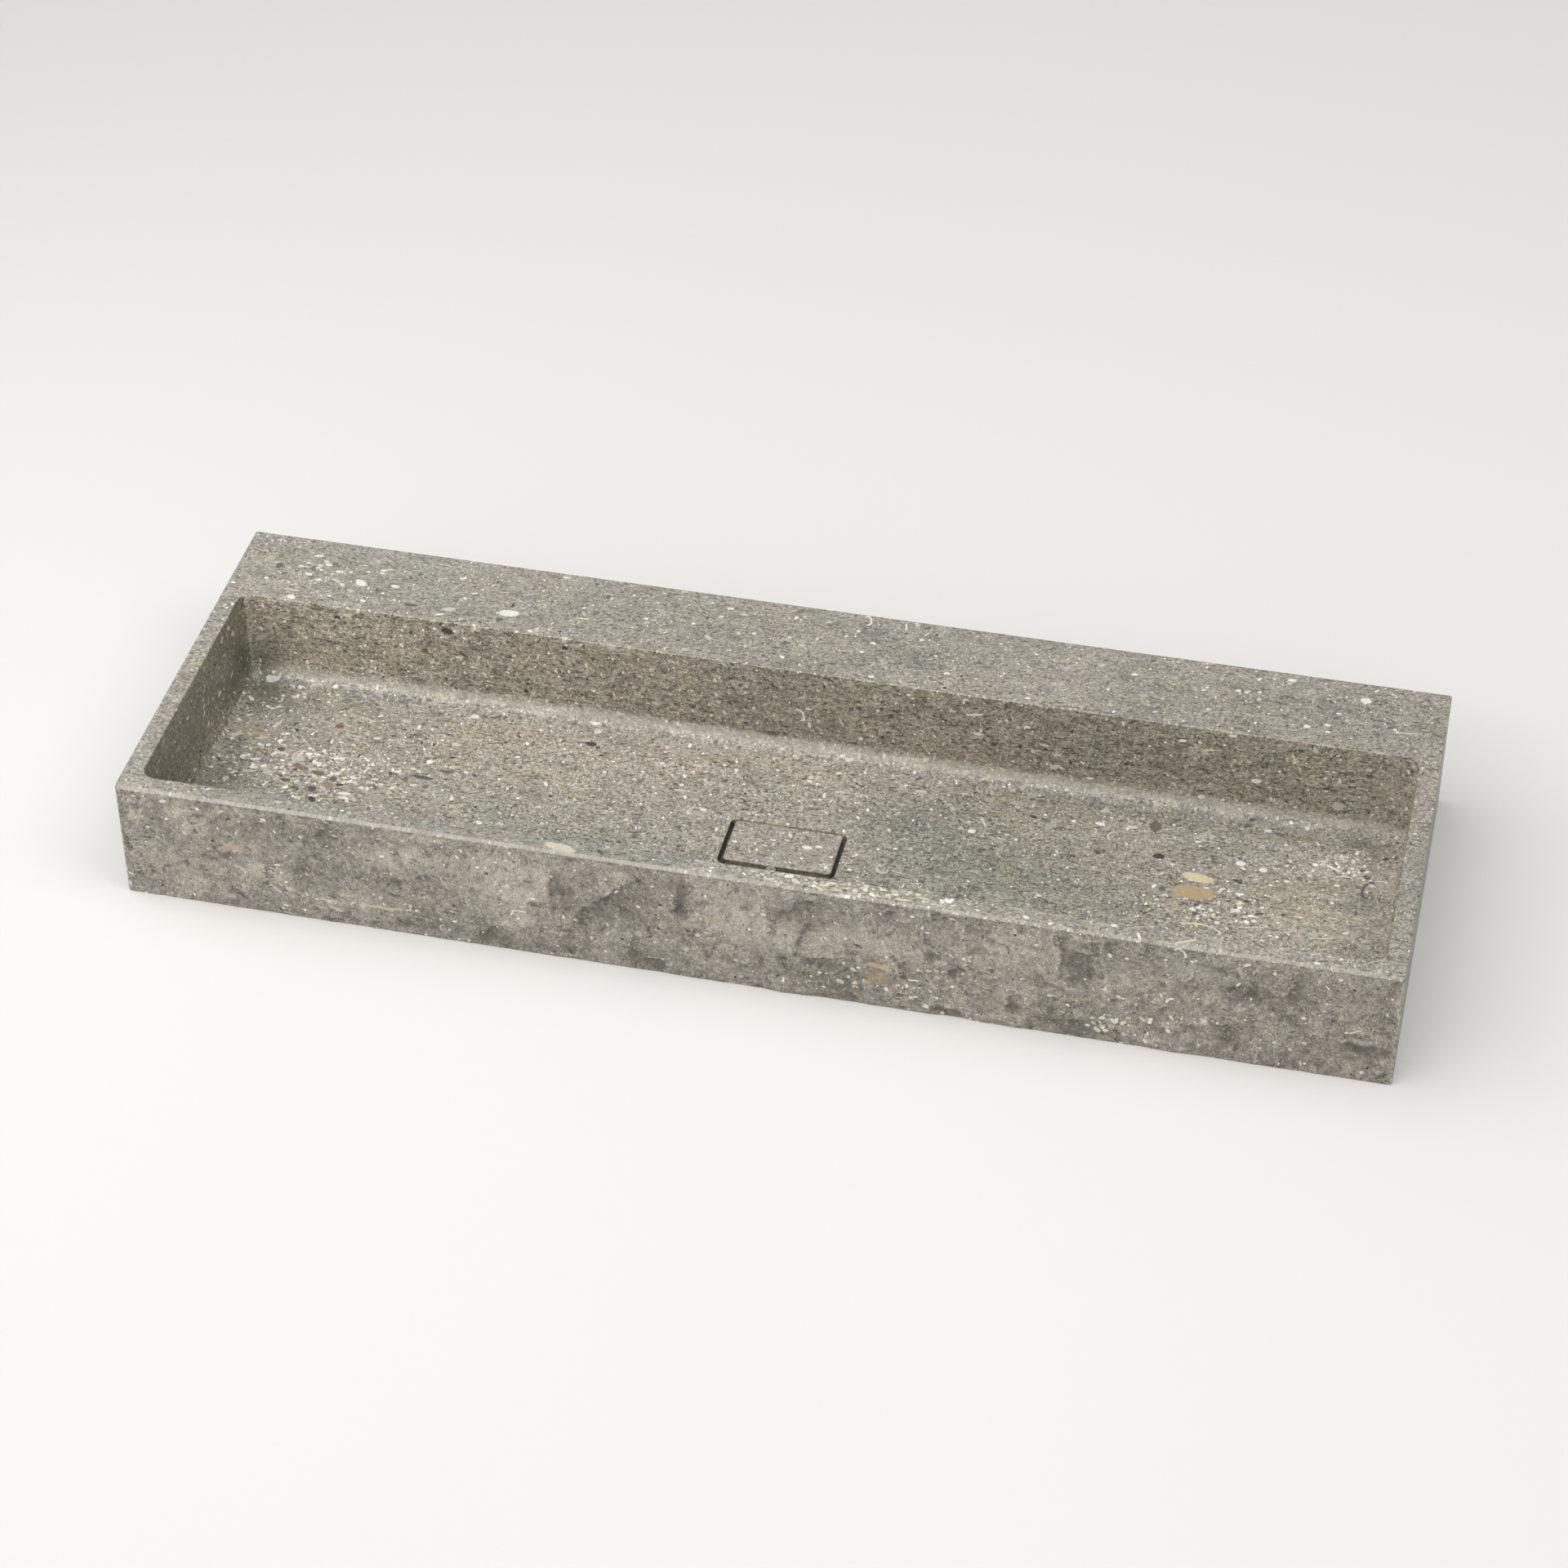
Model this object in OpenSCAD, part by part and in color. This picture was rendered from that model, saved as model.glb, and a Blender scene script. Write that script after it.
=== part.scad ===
// Trough sink carved from one block of shell stone, with a lift-out stone
// drain cover and a low flush-grid waste fitted through the floor.
// Origin at the middle of the underside, +X to the right along the trough,
// +Y to the back (the tap ledge), +Z up. Sizes in millimetres.

/* [Block] */
// Overall width of the block
block_w = 1200; // [900:10:1600]
// Overall depth of the block, front to back
block_d = 410; // [390:5:520]
// Overall height of the block
block_h = 129; // [125:1:150]
// Radius on the four upright outer corners
corner_r = 2; // [1:0.5:4]
// Bevel along the top front edge, above the split face
front_bevel = 3; // [1:0.5:4]

/* [Trough] */
// Width of the rim at the left and at the right
side_rim = 19; // [15:1:40]
// Width of the front rim
front_rim = 19.5; // [15:0.5:40]
// Depth of the ledge behind the trough
back_ledge = 102; // [60:1:140]
// Depth of the trough below the rim
trough_depth = 100; // [90:1:100]
// Radius of the trough's corners and of its bottom edge
trough_r = 16; // [8:1:20]

/* [Drain recess] */
// Width of the recess that holds the drain cover
recess_w = 114; // [100:1:140]
// Depth of the recess, front to back
recess_d = 67; // [66:1:90]
// Depth of the recess below the trough floor
recess_depth = 10; // [9:0.5:11]
// Corner radius of the recess
recess_r = 7.5; // [5:0.5:10]
// Clear gap between the front nub and the cover
nub_clear = 0.5; // [0.5:0.1:2]
// How far the back nub stands out from the recess wall
back_nub_reach = 1.5; // [1:0.1:1.5]
// Place of the front nub along the width, from the middle
front_nub_x = -4; // [-10:1:10]

/* [Drain cover] */
// Clear gap between the cover and the recess wall
cover_gap = 4.5; // [4.5:0.5:6]
// Thickness of the cover
cover_t = 9; // [7:0.5:9]
// Corner radius of the cover
cover_r = 4; // [2:0.5:6]
// How far the cover sits behind the middle of the recess
cover_back = 2.5; // [0:0.25:2.5]
// Height of the soft bumpers under the cover
bumper_h = 1; // [1:0.5:2]
// Radius of the soft bumpers
bumper_r = 4; // [3:0.5:5]

/* [Waste] */
// Radius of the waste body's outside thread
thread_r = 23.9; // [23:0.1:24]
// Radius of the outlet socket that the trap adapter screws into
outlet_r = 19.5; // [18:0.5:20]
// Radius of the waste flange
flange_r = 30.5; // [29:0.5:31]
// Thickness of the waste flange
flange_t = 2; // [1.5:0.25:2]
// Radius of the strainer disc
strainer_r = 21.5; // [21:0.1:21.5]
// Radius of the holes in the strainer disc
strainer_hole_r = 2.4; // [2:0.1:2.6]

/* [Underside] */
// Size of the pocket around the waste, along the width
pocket_w = 104; // [90:1:120]
// Size of the pocket, front to back
pocket_d = 94; // [90:1:110]
// Depth of the pocket
pocket_depth = 7; // [6.5:0.5:7]
// Distance between the bracket inserts along the width
insert_dx = 960; // [600:10:1000]
// Distance between the bracket inserts front to back
insert_dy = 240; // [160:10:280]
// Outer radius of a bracket insert
insert_r = 6; // [5:0.5:7]
// Radius of the threaded hole in a bracket insert
insert_hole_r = 3.4; // [3.4:0.1:3.4]
// Length of a bracket insert
insert_len = 16; // [12:1:18]

/* [Hidden] */
nub_reach = cover_gap + cover_back - nub_clear;   // of the front nub

floor_z = block_h - trough_depth;         // trough floor
sump_z = floor_z - recess_depth;          // floor of the drain recess
trough_w = block_w - 2 * side_rim;
trough_d = block_d - front_rim - back_ledge;
// middle of the trough and of the drain, front to back
mid_y = -block_d / 2 + front_rim + trough_d / 2;
seal_t = 1;                               // soft seal under the flange
seat_r = flange_r + 1;                    // counterbore for the flange
seat_z = sump_z - flange_t - seal_t;      // floor of that counterbore
hole_r = thread_r + 1.1;                  // drain hole through the stone
cover_w = recess_w - 2 * cover_gap;
cover_d = recess_d - 2 * cover_gap;
cover_z = floor_z - cover_t;              // underside of the cover
gasket_t = 1.6;
washer_t = 0.4;
nut_t = 4;
gasket_z = pocket_depth - gasket_t;
washer_z = gasket_z - washer_t;
nut_z = washer_z - nut_t;
tail_z = nut_z - 0.5;                     // lower end of the waste body
step_z = tail_z + 9;                      // shoulder above the outlet socket
strainer_z = sump_z - 3.2;                // seat of the strainer disc
strainer_t = 1.2;

stone = [0.60, 0.58, 0.54];
steel = [0.72, 0.73, 0.74];
brass = [0.78, 0.65, 0.38];

// Rectangle with round corners, centred on the origin
module rounded_rect(w, d, r) {
    square([w - 2 * r, d], center = true);
    square([w, d - 2 * r], center = true);
    for (sx = [-1, 1], sy = [-1, 1])
        translate([sx * (w / 2 - r), sy * (d / 2 - r)]) circle(r, $fn = 48);
}

// Quarter of a round bar, filling the corner between a wall and the floor
module edge_round(len, r) {
    linear_extrude(len)
        intersection() {
            circle(r, $fn = 48);
            translate([0, -r]) square([r, r]);
        }
}

// Eighth of a ball, for the trough's bottom corners
module corner_round(r) {
    rotate_extrude(angle = 90, $fn = 48)
        intersection() {
            circle(r, $fn = 48);
            translate([0, -r]) square([r, r]);
        }
}

// The hollow of the trough: upright walls, round corners, round bottom edge
module trough_hollow(w, d, h, r) {
    translate([0, 0, r]) linear_extrude(h - r) rounded_rect(w, d, r);
    translate([-(w / 2 - r), -(d / 2 - r), 0]) cube([w - 2 * r, d - 2 * r, r]);
    // along the back and the front
    translate([-(w / 2 - r), d / 2 - r, r])
        rotate([90, 0, 90]) edge_round(w - 2 * r, r);
    translate([w / 2 - r, -(d / 2 - r), r])
        rotate([90, 0, -90]) edge_round(w - 2 * r, r);
    // along the right and the left
    translate([w / 2 - r, d / 2 - r, r])
        rotate([90, 0, 0]) edge_round(d - 2 * r, r);
    translate([-(w / 2 - r), -(d / 2 - r), r])
        rotate([90, 0, 180]) edge_round(d - 2 * r, r);
    // the four bottom corners
    translate([w / 2 - r, d / 2 - r, r]) corner_round(r);
    translate([-(w / 2 - r), d / 2 - r, r]) rotate([0, 0, 90]) corner_round(r);
    translate([-(w / 2 - r), -(d / 2 - r), r]) rotate([0, 0, 180]) corner_round(r);
    translate([w / 2 - r, -(d / 2 - r), r]) rotate([0, 0, 270]) corner_round(r);
}

// The recess under the cover, with a small nub left on two of its walls
module recess_hollow(h) {
    nub_r = 5;
    difference() {
        linear_extrude(h) rounded_rect(recess_w, recess_d, recess_r);
        translate([front_nub_x, -recess_d / 2 - nub_r + nub_reach, -1])
            cylinder(h = recess_depth + 1, r = nub_r, $fn = 48);
        // its neck, where it reaches out by more than its own radius
        translate([front_nub_x - nub_r, -recess_d / 2 - 1, -1])
            cube([2 * nub_r, 1 + max(0, nub_reach - nub_r), recess_depth + 1]);
        translate([0, recess_d / 2 + nub_r - back_nub_reach, -1])
            cylinder(h = recess_depth + 1, r = nub_r, $fn = 48);
    }
}

module at_inserts() {
    for (sx = [-1, 1], sy = [-1, 1])
        translate([sx * insert_dx / 2, sy * insert_dy / 2, 0]) children();
}

module basin_block() {
    color(stone)
    difference() {
        linear_extrude(block_h) rounded_rect(block_w, block_d, corner_r);
        translate([0, mid_y, floor_z])
            trough_hollow(trough_w, trough_d, trough_depth + 5, trough_r);
        translate([0, mid_y, sump_z]) recess_hollow(recess_depth + 2);
        translate([0, mid_y, seat_z])
            cylinder(h = flange_t + seal_t + 2, r = seat_r, $fn = 96);
        translate([0, mid_y, -1]) cylinder(h = seat_z + 2, r = hole_r, $fn = 96);
        translate([0, mid_y, -5])
            linear_extrude(pocket_depth + 5) rounded_rect(pocket_w, pocket_d, 10);
        at_inserts() translate([0, 0, -1])
            cylinder(h = insert_len + 1, r = insert_r, $fn = 48);
        // bevel over the split face
        translate([0, -block_d / 2, block_h])
            rotate([45, 0, 0])
                cube([block_w + 10, front_bevel * sqrt(2), front_bevel * sqrt(2)],
                     center = true);
    }
}

module drain_cover() {
    color(stone)
    translate([0, mid_y + cover_back, cover_z])
        linear_extrude(cover_t) rounded_rect(cover_w, cover_d, cover_r);
}

module cover_bumpers() {
    color([0.85, 0.86, 0.84])
    for (sx = [-1, 1], sy = [-1, 1])
        translate([sx * (cover_w / 2 - 8),
                   mid_y + cover_back + sy * (cover_d / 2 - 7),
                   cover_z - bumper_h])
            cylinder(h = bumper_h, r = bumper_r, $fn = 48);
}

// One turned body: flange, strainer seat, outside thread, outlet socket,
// with a bar across it that takes the centre screw
module waste_body() {
    color(steel)
    translate([0, mid_y, 0]) {
        rotate_extrude($fn = 96)
            polygon([
                [outlet_r, tail_z], [thread_r, tail_z],
                [thread_r, sump_z - flange_t], [flange_r, sump_z - flange_t],
                [flange_r, sump_z - 0.5], [flange_r - 0.5, sump_z],
                [strainer_r + 0.9, sump_z], [strainer_r + 0.2, sump_z - 0.7],
                [strainer_r + 0.2, strainer_z], [outlet_r - 1, strainer_z],
                [outlet_r - 1, step_z], [outlet_r, step_z]
            ]);
        difference() {
            union() {
                translate([-outlet_r + 0.5, -3, strainer_z - 5])
                    cube([2 * outlet_r - 1, 6, 5]);
                translate([0, 0, strainer_z - 5])
                    cylinder(h = 5, r = 6, $fn = 48);
            }
            translate([0, 0, strainer_z - 6])
                cylinder(h = 8, r = 2.5, $fn = 48);
        }
    }
}

module flange_seal() {
    color([0.16, 0.16, 0.16])
    translate([0, mid_y, seat_z])
        difference() {
            cylinder(h = seal_t, r = flange_r - 0.5, $fn = 96);
            translate([0, 0, -1]) cylinder(h = seal_t + 2, r = thread_r + 0.2, $fn = 96);
        }
}

module strainer_disc() {
    color(steel)
    translate([0, mid_y, strainer_z])
        difference() {
            cylinder(h = strainer_t, r = strainer_r, $fn = 96);
            translate([0, 0, -1]) cylinder(h = 4, r = 2.7, $fn = 48);
            for (ring = [[8, 6], [15.2, 12]], i = [0 : ring[1] - 1])
                rotate([0, 0, 360 / ring[1] * (i + 0.5)])
                    translate([ring[0], 0, -1])
                        cylinder(h = 4, r = strainer_hole_r, $fn = 32);
        }
}

// Low pan head with a screwdriver slot, shank into the bar
module strainer_screw() {
    color(steel)
    translate([0, mid_y, strainer_z + strainer_t])
        difference() {
            union() {
                cylinder(h = 1.6, r = 4.6, $fn = 48);
                translate([0, 0, -5.6]) cylinder(h = 5.7, r = 2.45, $fn = 48);
            }
            translate([-6, -0.6, 0.8]) cube([12, 1.2, 2]);
        }
}

module lower_gasket() {
    color([0.16, 0.16, 0.16])
    translate([0, mid_y, gasket_z])
        difference() {
            cylinder(h = gasket_t, r = 36, $fn = 96);
            translate([0, 0, -1]) cylinder(h = gasket_t + 2, r = thread_r + 0.2, $fn = 96);
        }
}

module friction_washer() {
    color([0.90, 0.90, 0.88])
    translate([0, mid_y, washer_z])
        difference() {
            cylinder(h = washer_t, r = 35.5, $fn = 96);
            translate([0, 0, -1]) cylinder(h = washer_t + 2, r = thread_r + 0.2, $fn = 96);
        }
}

// Thin hexagon nut, 62 mm across the flats
module lock_nut() {
    color(brass)
    translate([0, mid_y, nut_z])
        difference() {
            cylinder(h = nut_t, r = 62 / sqrt(3), $fn = 6);
            translate([0, 0, -1]) cylinder(h = nut_t + 2, r = thread_r, $fn = 96);
        }
}

// Four threaded bushes bonded into the underside, for wall brackets
module bracket_inserts() {
    color(brass)
    at_inserts()
        difference() {
            cylinder(h = insert_len, r = insert_r, $fn = 48);
            translate([0, 0, -1])
                cylinder(h = insert_len - 1, r = insert_hole_r, $fn = 48);
        }
}

basin_block();
drain_cover();
cover_bumpers();
waste_body();
flange_seal();
strainer_disc();
strainer_screw();
lower_gasket();
friction_washer();
lock_nut();
bracket_inserts();
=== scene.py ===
import math

import bmesh
import bpy
import numpy as np
from mathutils import Matrix, Vector, kdtree
from mathutils.geometry import delaunay_2d_cdt


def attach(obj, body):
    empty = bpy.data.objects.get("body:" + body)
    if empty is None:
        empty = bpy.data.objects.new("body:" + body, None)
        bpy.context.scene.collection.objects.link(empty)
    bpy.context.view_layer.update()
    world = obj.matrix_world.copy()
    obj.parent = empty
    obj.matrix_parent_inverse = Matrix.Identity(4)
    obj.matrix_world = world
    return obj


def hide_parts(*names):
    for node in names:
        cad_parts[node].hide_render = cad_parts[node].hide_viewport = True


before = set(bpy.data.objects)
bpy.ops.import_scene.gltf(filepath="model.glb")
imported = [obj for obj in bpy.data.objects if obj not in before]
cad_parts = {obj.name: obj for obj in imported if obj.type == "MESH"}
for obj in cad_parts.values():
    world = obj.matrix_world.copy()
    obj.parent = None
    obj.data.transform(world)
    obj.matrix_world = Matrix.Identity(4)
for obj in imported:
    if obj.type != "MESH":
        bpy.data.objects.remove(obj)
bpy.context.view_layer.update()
scene = bpy.context.scene

# ---------------------------------------------------------------- sizes (mm)
HX, YF, YB, TOP = 600.0, -205.0, 205.0, 129.0
CORNER_R = 2.0
BEVEL = 3.0
TX, TY0, TY1 = 581.0, -185.5, 103.0        # trough walls
FLOOR_Z, PLAN_R, FOOT_R, RIM_R = 29.0, 13.0, 19.0, 1.3
MID_Y = -41.25
REC_W, REC_D, REC_R, REC_Z = 114.0, 67.0, 7.5, 19.0
NUB_R = 5.0
NUB_FRONT_IN, NUB_BACK_IN = -1.5, 3.5       # centres of the nubs behind the walls
NUB_FRONT_X, NUB_BACK_X = -4.0, 0.0
COV_W, COV_D, COV_R, COV_Z, COV_BACK = 105.0, 58.0, 4.0, 20.0, 2.5


# ------------------------------------------------------------- smooth noise
def lattice_noise(x, y, period, seed):
    """Gradient noise on a plane, about -1 to 1."""
    rng = np.random.RandomState(seed)
    gx, gy = x / period + 1000.0, y / period + 1000.0
    ix, iy = np.floor(gx).astype(int), np.floor(gy).astype(int)
    fx, fy = gx - ix, gy - iy
    n = 256
    ang = rng.uniform(0, 2 * math.pi, (n, n))
    cx, cy = np.cos(ang), np.sin(ang)

    def dot(a, b):
        i, j = (ix + a) % n, (iy + b) % n
        return cx[i, j] * (fx - a) + cy[i, j] * (fy - b)

    ux = fx * fx * fx * (fx * (fx * 6 - 15) + 10)
    uy = fy * fy * fy * (fy * (fy * 6 - 15) + 10)
    low = dot(0, 0) * (1 - ux) + dot(1, 0) * ux
    high = dot(0, 1) * (1 - ux) + dot(1, 1) * ux
    return (low * (1 - uy) + high * uy) * 1.45


def fbm(x, y, period, octaves, gain, seed):
    total, amp = 0.0, 1.0
    for k in range(octaves):
        total = total + amp * lattice_noise(x, y, period / 2**k, seed + 17 * k)
        amp *= gain
    return total


# ------------------------------------------- relief of the split front face
# Broken steps: x, z, the way the surface drops (degrees, 0 is to the right and
# -90 down), half length, height, reach on the high side, reach on the low side
STEPS = [
    (-182, 88, 0, 29, 3.4, 30, 16), (-130, 82, -47, 46, 3.4, 24, 24),
    (-62, 97, -4, 24, 3.2, 14, 20), (-200, 59, -20, 8, 2.0, 9, 9),
    (-213, 49, 100, 10, 1.2, 12, 10), (-244, 19, -35, 13, 2.6, 14, 14),
    (-83, 15, -88, 10, 2.2, 9, 12), (-108, 25, -10, 12, 2.0, 10, 12),
    (-402, 106, -40, 15, 2.4, 14, 16), (-430, 57, -5, 16, 2.2, 12, 16),
    (-490, 66, -70, 14, 2.4, 14, 14), (-330, 64, -60, 11, 2.0, 12, 12),
    (-304, 74, -60, 9, 1.8, 10, 10), (-575, 95, -20, 14, 1.4, 14, 14),
    (45, 105, -62, 30, 3.0, 18, 26), (61, 84, -10, 10, 2.6, 16, 9),
    (55, 69, 2, 10, 2.8, 16, 9), (49, 50, -12, 11, 2.2, 14, 9),
    (93, 60, -70, 10, 2.2, 12, 10), (85, 49, -85, 24, 3.2, 16, 30),
    (146, 42, -5, 7, 1.6, 8, 8), (174, 70, -25, 13, 2.8, 14, 12),
    (142, 91, 0, 7, 1.6, 9, 9), (210, 111, -10, 9, 2.2, 10, 10),
    (195, 56, -40, 8, 2.4, 10, 9), (232, 57, -50, 9, 2.4, 10, 9),
    (182, 42, -60, 6, 1.6, 8, 8), (250, 28, -20, 14, 2.8, 12, 14),
    (280, 17, -85, 20, 2.0, 14, 12), (294, 94, 0, 29, 3.8, 14, 22),
    (313, 106, -88, 15, 2.6, 12, 16), (316, 20, -80, 15, 2.2, 12, 12),
    (335, 118, -40, 5, 1.8, 6, 6), (452, 91, -60, 10, 3.2, 9, 8),
    (468, 85, -82, 10, 3.2, 9, 8), (502, 93, -25, 11, 3.2, 10, 9),
    (500, 67, -82, 10, 1.8, 9, 9), (556, 107, -60, 5, 1.8, 6, 6),
    (523, 88, -90, 8, 1.4, 8, 8), (574, 41, -90, 26, 2.6, 14, 10),
    (448, 34, 0, 9, 2.0, 9, 10), (196, 8, -90, 18, 1.8, 8, 9),
    (-25, 60, -60, 12, 1.6, 12, 12), (-360, 30, -100, 18, 1.6, 12, 12),
    (-455, 35, -60, 16, 1.4, 14, 14), (-540, 50, -30, 14, 1.4, 12, 12),
    (-560, 20, -90, 18, 1.6, 10, 12), (375, 55, -100, 18, 1.6, 12, 12),
    (408, 90, -30, 12, 1.4, 12, 12), (-20, 118, -20, 8, 1.4, 9, 9),
    (-370, 76, -30, 12, 1.4, 12, 12), (345, 30, -50, 10, 1.8, 9, 10),
    (135, 14, -80, 16, 1.6, 10, 10), (-165, 30, -60, 12, 1.8, 10, 12),
    (10, 26, -50, 13, 1.6, 12, 12), (430, 62, -40, 10, 1.4, 9, 9),
]
# Bowls and bulges: x, z, half width, half height, height
BOWLS = [
    (312, 80, 15, 27, -2.6), (84, 26, 26, 24, 2.0), (45, 8, 30, 14, 2.4),
    (252, 12, 22, 14, 2.0), (392, 10, 30, 14, 2.2), (-215, 38, 24, 14, 1.6),
    (-216, 90, 38, 28, 1.2), (-530, 100, 26, 20, 1.0), (104, 78, 26, 22, 1.2),
    (0, 95, 24, 24, 1.2), (-322, 94, 30, 16, 1.2), (250, 92, 34, 22, 1.2),
    (470, 82, 34, 14, -1.4), (196, 4, 24, 8, -1.6), (-398, 22, 24, 14, 0.9),
    (-105, 60, 30, 18, -1.2), (-480, 100, 30, 18, -0.8), (-60, 35, 40, 16, 0.8),
]


def relief(x, z):
    """How far the split face stands out from its mean plane, in mm."""
    wx = x + 4.5 * fbm(x, z, 26, 2, 0.5, 11) + 1.7 * fbm(x, z, 6.5, 3, 0.6, 13)
    wz = z + 4.0 * fbm(x, z, 22, 2, 0.5, 23) + 1.7 * fbm(x, z, 6.0, 3, 0.6, 29)
    h = 1.3 * fbm(x, z * 1.3, 105, 2, 0.5, 31)
    h += 0.9 * fbm(wx, wz * 1.2, 30, 2, 0.5, 37)
    h += 1.1 * (0.35 - np.abs(fbm(wx, wz, 24, 3, 0.55, 47)))
    low = np.clip(z / 14.0, 0, 1)
    h *= 0.30 + 0.70 * low * low * (3 - 2 * low)
    for cx, cz, ang, half, height, reach_up, reach_down in STEPS:
        a = math.radians(ang)
        t = (wx - cx) * math.cos(a) + (wz - cz) * math.sin(a)
        s = -(wx - cx) * math.sin(a) + (wz - cz) * math.cos(a)
        win = np.clip(1 - (s / (half * 1.3)) ** 2, 0, 1) ** 1.5
        fade = np.where(t < 0, np.exp(t / reach_up), np.exp(-t / reach_down))
        h -= 0.52 * height * np.tanh(t / 1.0) * fade * win
    for cx, cz, rx, rz, height in BOWLS:
        d = ((wx - cx) / rx) ** 2 + ((wz - cz) / rz) ** 2
        h += height * np.clip(1 - d, 0, 1) ** 1.5
    rough = 0.75 + 0.5 * fbm(x, z, 40, 2, 0.5, 77)
    h += np.clip(rough, 0.3, 1.4) * (
        0.42 * fbm(wx, wz, 9, 3, 0.6, 41)
        + 0.50 * (0.4 - np.abs(fbm(wx, wz, 6.0, 2, 0.55, 57))))
    return np.clip(h, -7.0, 3.7)


# ------------------------------------------------------------- mesh building
class Builder:
    def __init__(self):
        self.co, self.faces = [], []

    def add(self, points):
        start = len(self.co)
        self.co.extend([tuple(map(float, p)) for p in points])
        return list(range(start, len(self.co)))

    def loop(self, flat, z):
        return self.add([(p[0], p[1], z) for p in flat])

    def bridge(self, a, b, closed=True):
        n = len(a)
        assert n == len(b)
        for i in range(n if closed else n - 1):
            j = (i + 1) % n
            self.faces.append((a[i], a[j], b[j], b[i]))

    def fill(self, outer, holes=(), spacing=8.0):
        """Triangles over a flat region, with its own points inside it."""
        rings = [outer] + list(holes)
        flat = [np.array([self.co[i][:2] for i in r]) for r in rings]
        z = self.co[outer[0]][2]
        low, high = flat[0].min(0), flat[0].max(0)
        nx = max(1, int(round((high[0] - low[0]) / spacing)))
        ny = max(1, int(round((high[1] - low[1]) / spacing)))
        gx, gy = np.meshgrid(
            low[0] + (np.arange(nx) + 0.5) * (high[0] - low[0]) / nx,
            low[1] + (np.arange(ny) + 0.5) * (high[1] - low[1]) / ny)
        pts = np.stack([gx.ravel(), gy.ravel()], 1)
        keep = inside(pts, flat[0])
        for h in flat[1:]:
            keep &= ~inside(pts, h)
        pts = pts[keep]
        edge = np.concatenate(flat)
        tree = kdtree.KDTree(len(edge))
        for k, p in enumerate(edge):
            tree.insert((p[0], p[1], 0), k)
        tree.balance()
        pts = np.array([p for p in pts
                        if tree.find((p[0], p[1], 0))[2] > 0.45 * spacing]).reshape(-1, 2)
        extra = self.add([(p[0], p[1], z) for p in pts])
        index = [i for r in rings for i in r] + extra
        coords = [Vector(self.co[i][:2]) for i in index]
        edges, start = [], 0
        for r in rings:
            n = len(r)
            edges += [(start + k, start + (k + 1) % n) for k in range(n)]
            start += n
        out = delaunay_2d_cdt(coords, edges, [], 0, 1e-7)
        tri = np.array([f for f in out[2]])
        where = np.array([[v.x, v.y] for v in out[0]])
        back = [o[0] for o in out[3]]
        mid = where[tri].mean(1)
        keep = inside(mid, flat[0])
        for h in flat[1:]:
            keep &= ~inside(mid, h)
        for f in tri[keep]:
            self.faces.append(tuple(index[back[k]] for k in f))

    def mesh(self, name):
        me = bpy.data.meshes.new(name)
        co = np.array(self.co) * 0.001
        me.from_pydata([tuple(p) for p in co], [], self.faces)
        bm = bmesh.new()
        bm.from_mesh(me)
        bmesh.ops.remove_doubles(bm, verts=bm.verts, dist=2e-6)
        bmesh.ops.recalc_face_normals(bm, faces=bm.faces)
        bm.to_mesh(me)
        bm.free()
        me.update()
        return me


def inside(points, ring):
    """Which points lie inside a closed outline."""
    a, b = ring, np.roll(ring, -1, axis=0)
    result = np.zeros(len(points), bool)
    for k in range(0, len(points), 4000):
        p = points[k:k + 4000]
        x, y = p[:, :1], p[:, 1:]
        cross = (a[:, 1] > y) != (b[:, 1] > y)
        with np.errstate(divide="ignore", invalid="ignore"):
            at = (b[:, 0] - a[:, 0]) * (y - a[:, 1]) / (b[:, 1] - a[:, 1]) + a[:, 0]
        result[k:k + 4000] = (cross & (x < at)).sum(1) % 2 == 1
    return result


def arc(cx, cy, r, a0, a1, n):
    """n points from a0 towards a1, the last one left out."""
    a = np.radians(a0 + (a1 - a0) * np.arange(n) / n)
    return np.stack([cx + r * np.cos(a), cy + r * np.sin(a)], 1)


def line(p, q, n):
    t = np.arange(n)[:, None] / n
    return np.array(p)[None] * (1 - t) + np.array(q)[None] * t


def round_rect(x0, x1, y0, y1, r, nx, ny, na):
    return np.concatenate([
        line((x0 + r, y0), (x1 - r, y0), nx), arc(x1 - r, y0 + r, r, -90, 0, na),
        line((x1, y0 + r), (x1, y1 - r), ny), arc(x1 - r, y1 - r, r, 0, 90, na),
        line((x1 - r, y1), (x0 + r, y1), nx), arc(x0 + r, y1 - r, r, 90, 180, na),
        line((x0, y1 - r), (x0, y0 + r), ny), arc(x0 + r, y0 + r, r, 180, 270, na)])


def circle(cx, cy, r, n):
    a = 2 * math.pi * np.arange(n) / n
    return np.stack([cx + r * np.cos(a), cy + r * np.sin(a)], 1)


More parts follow.
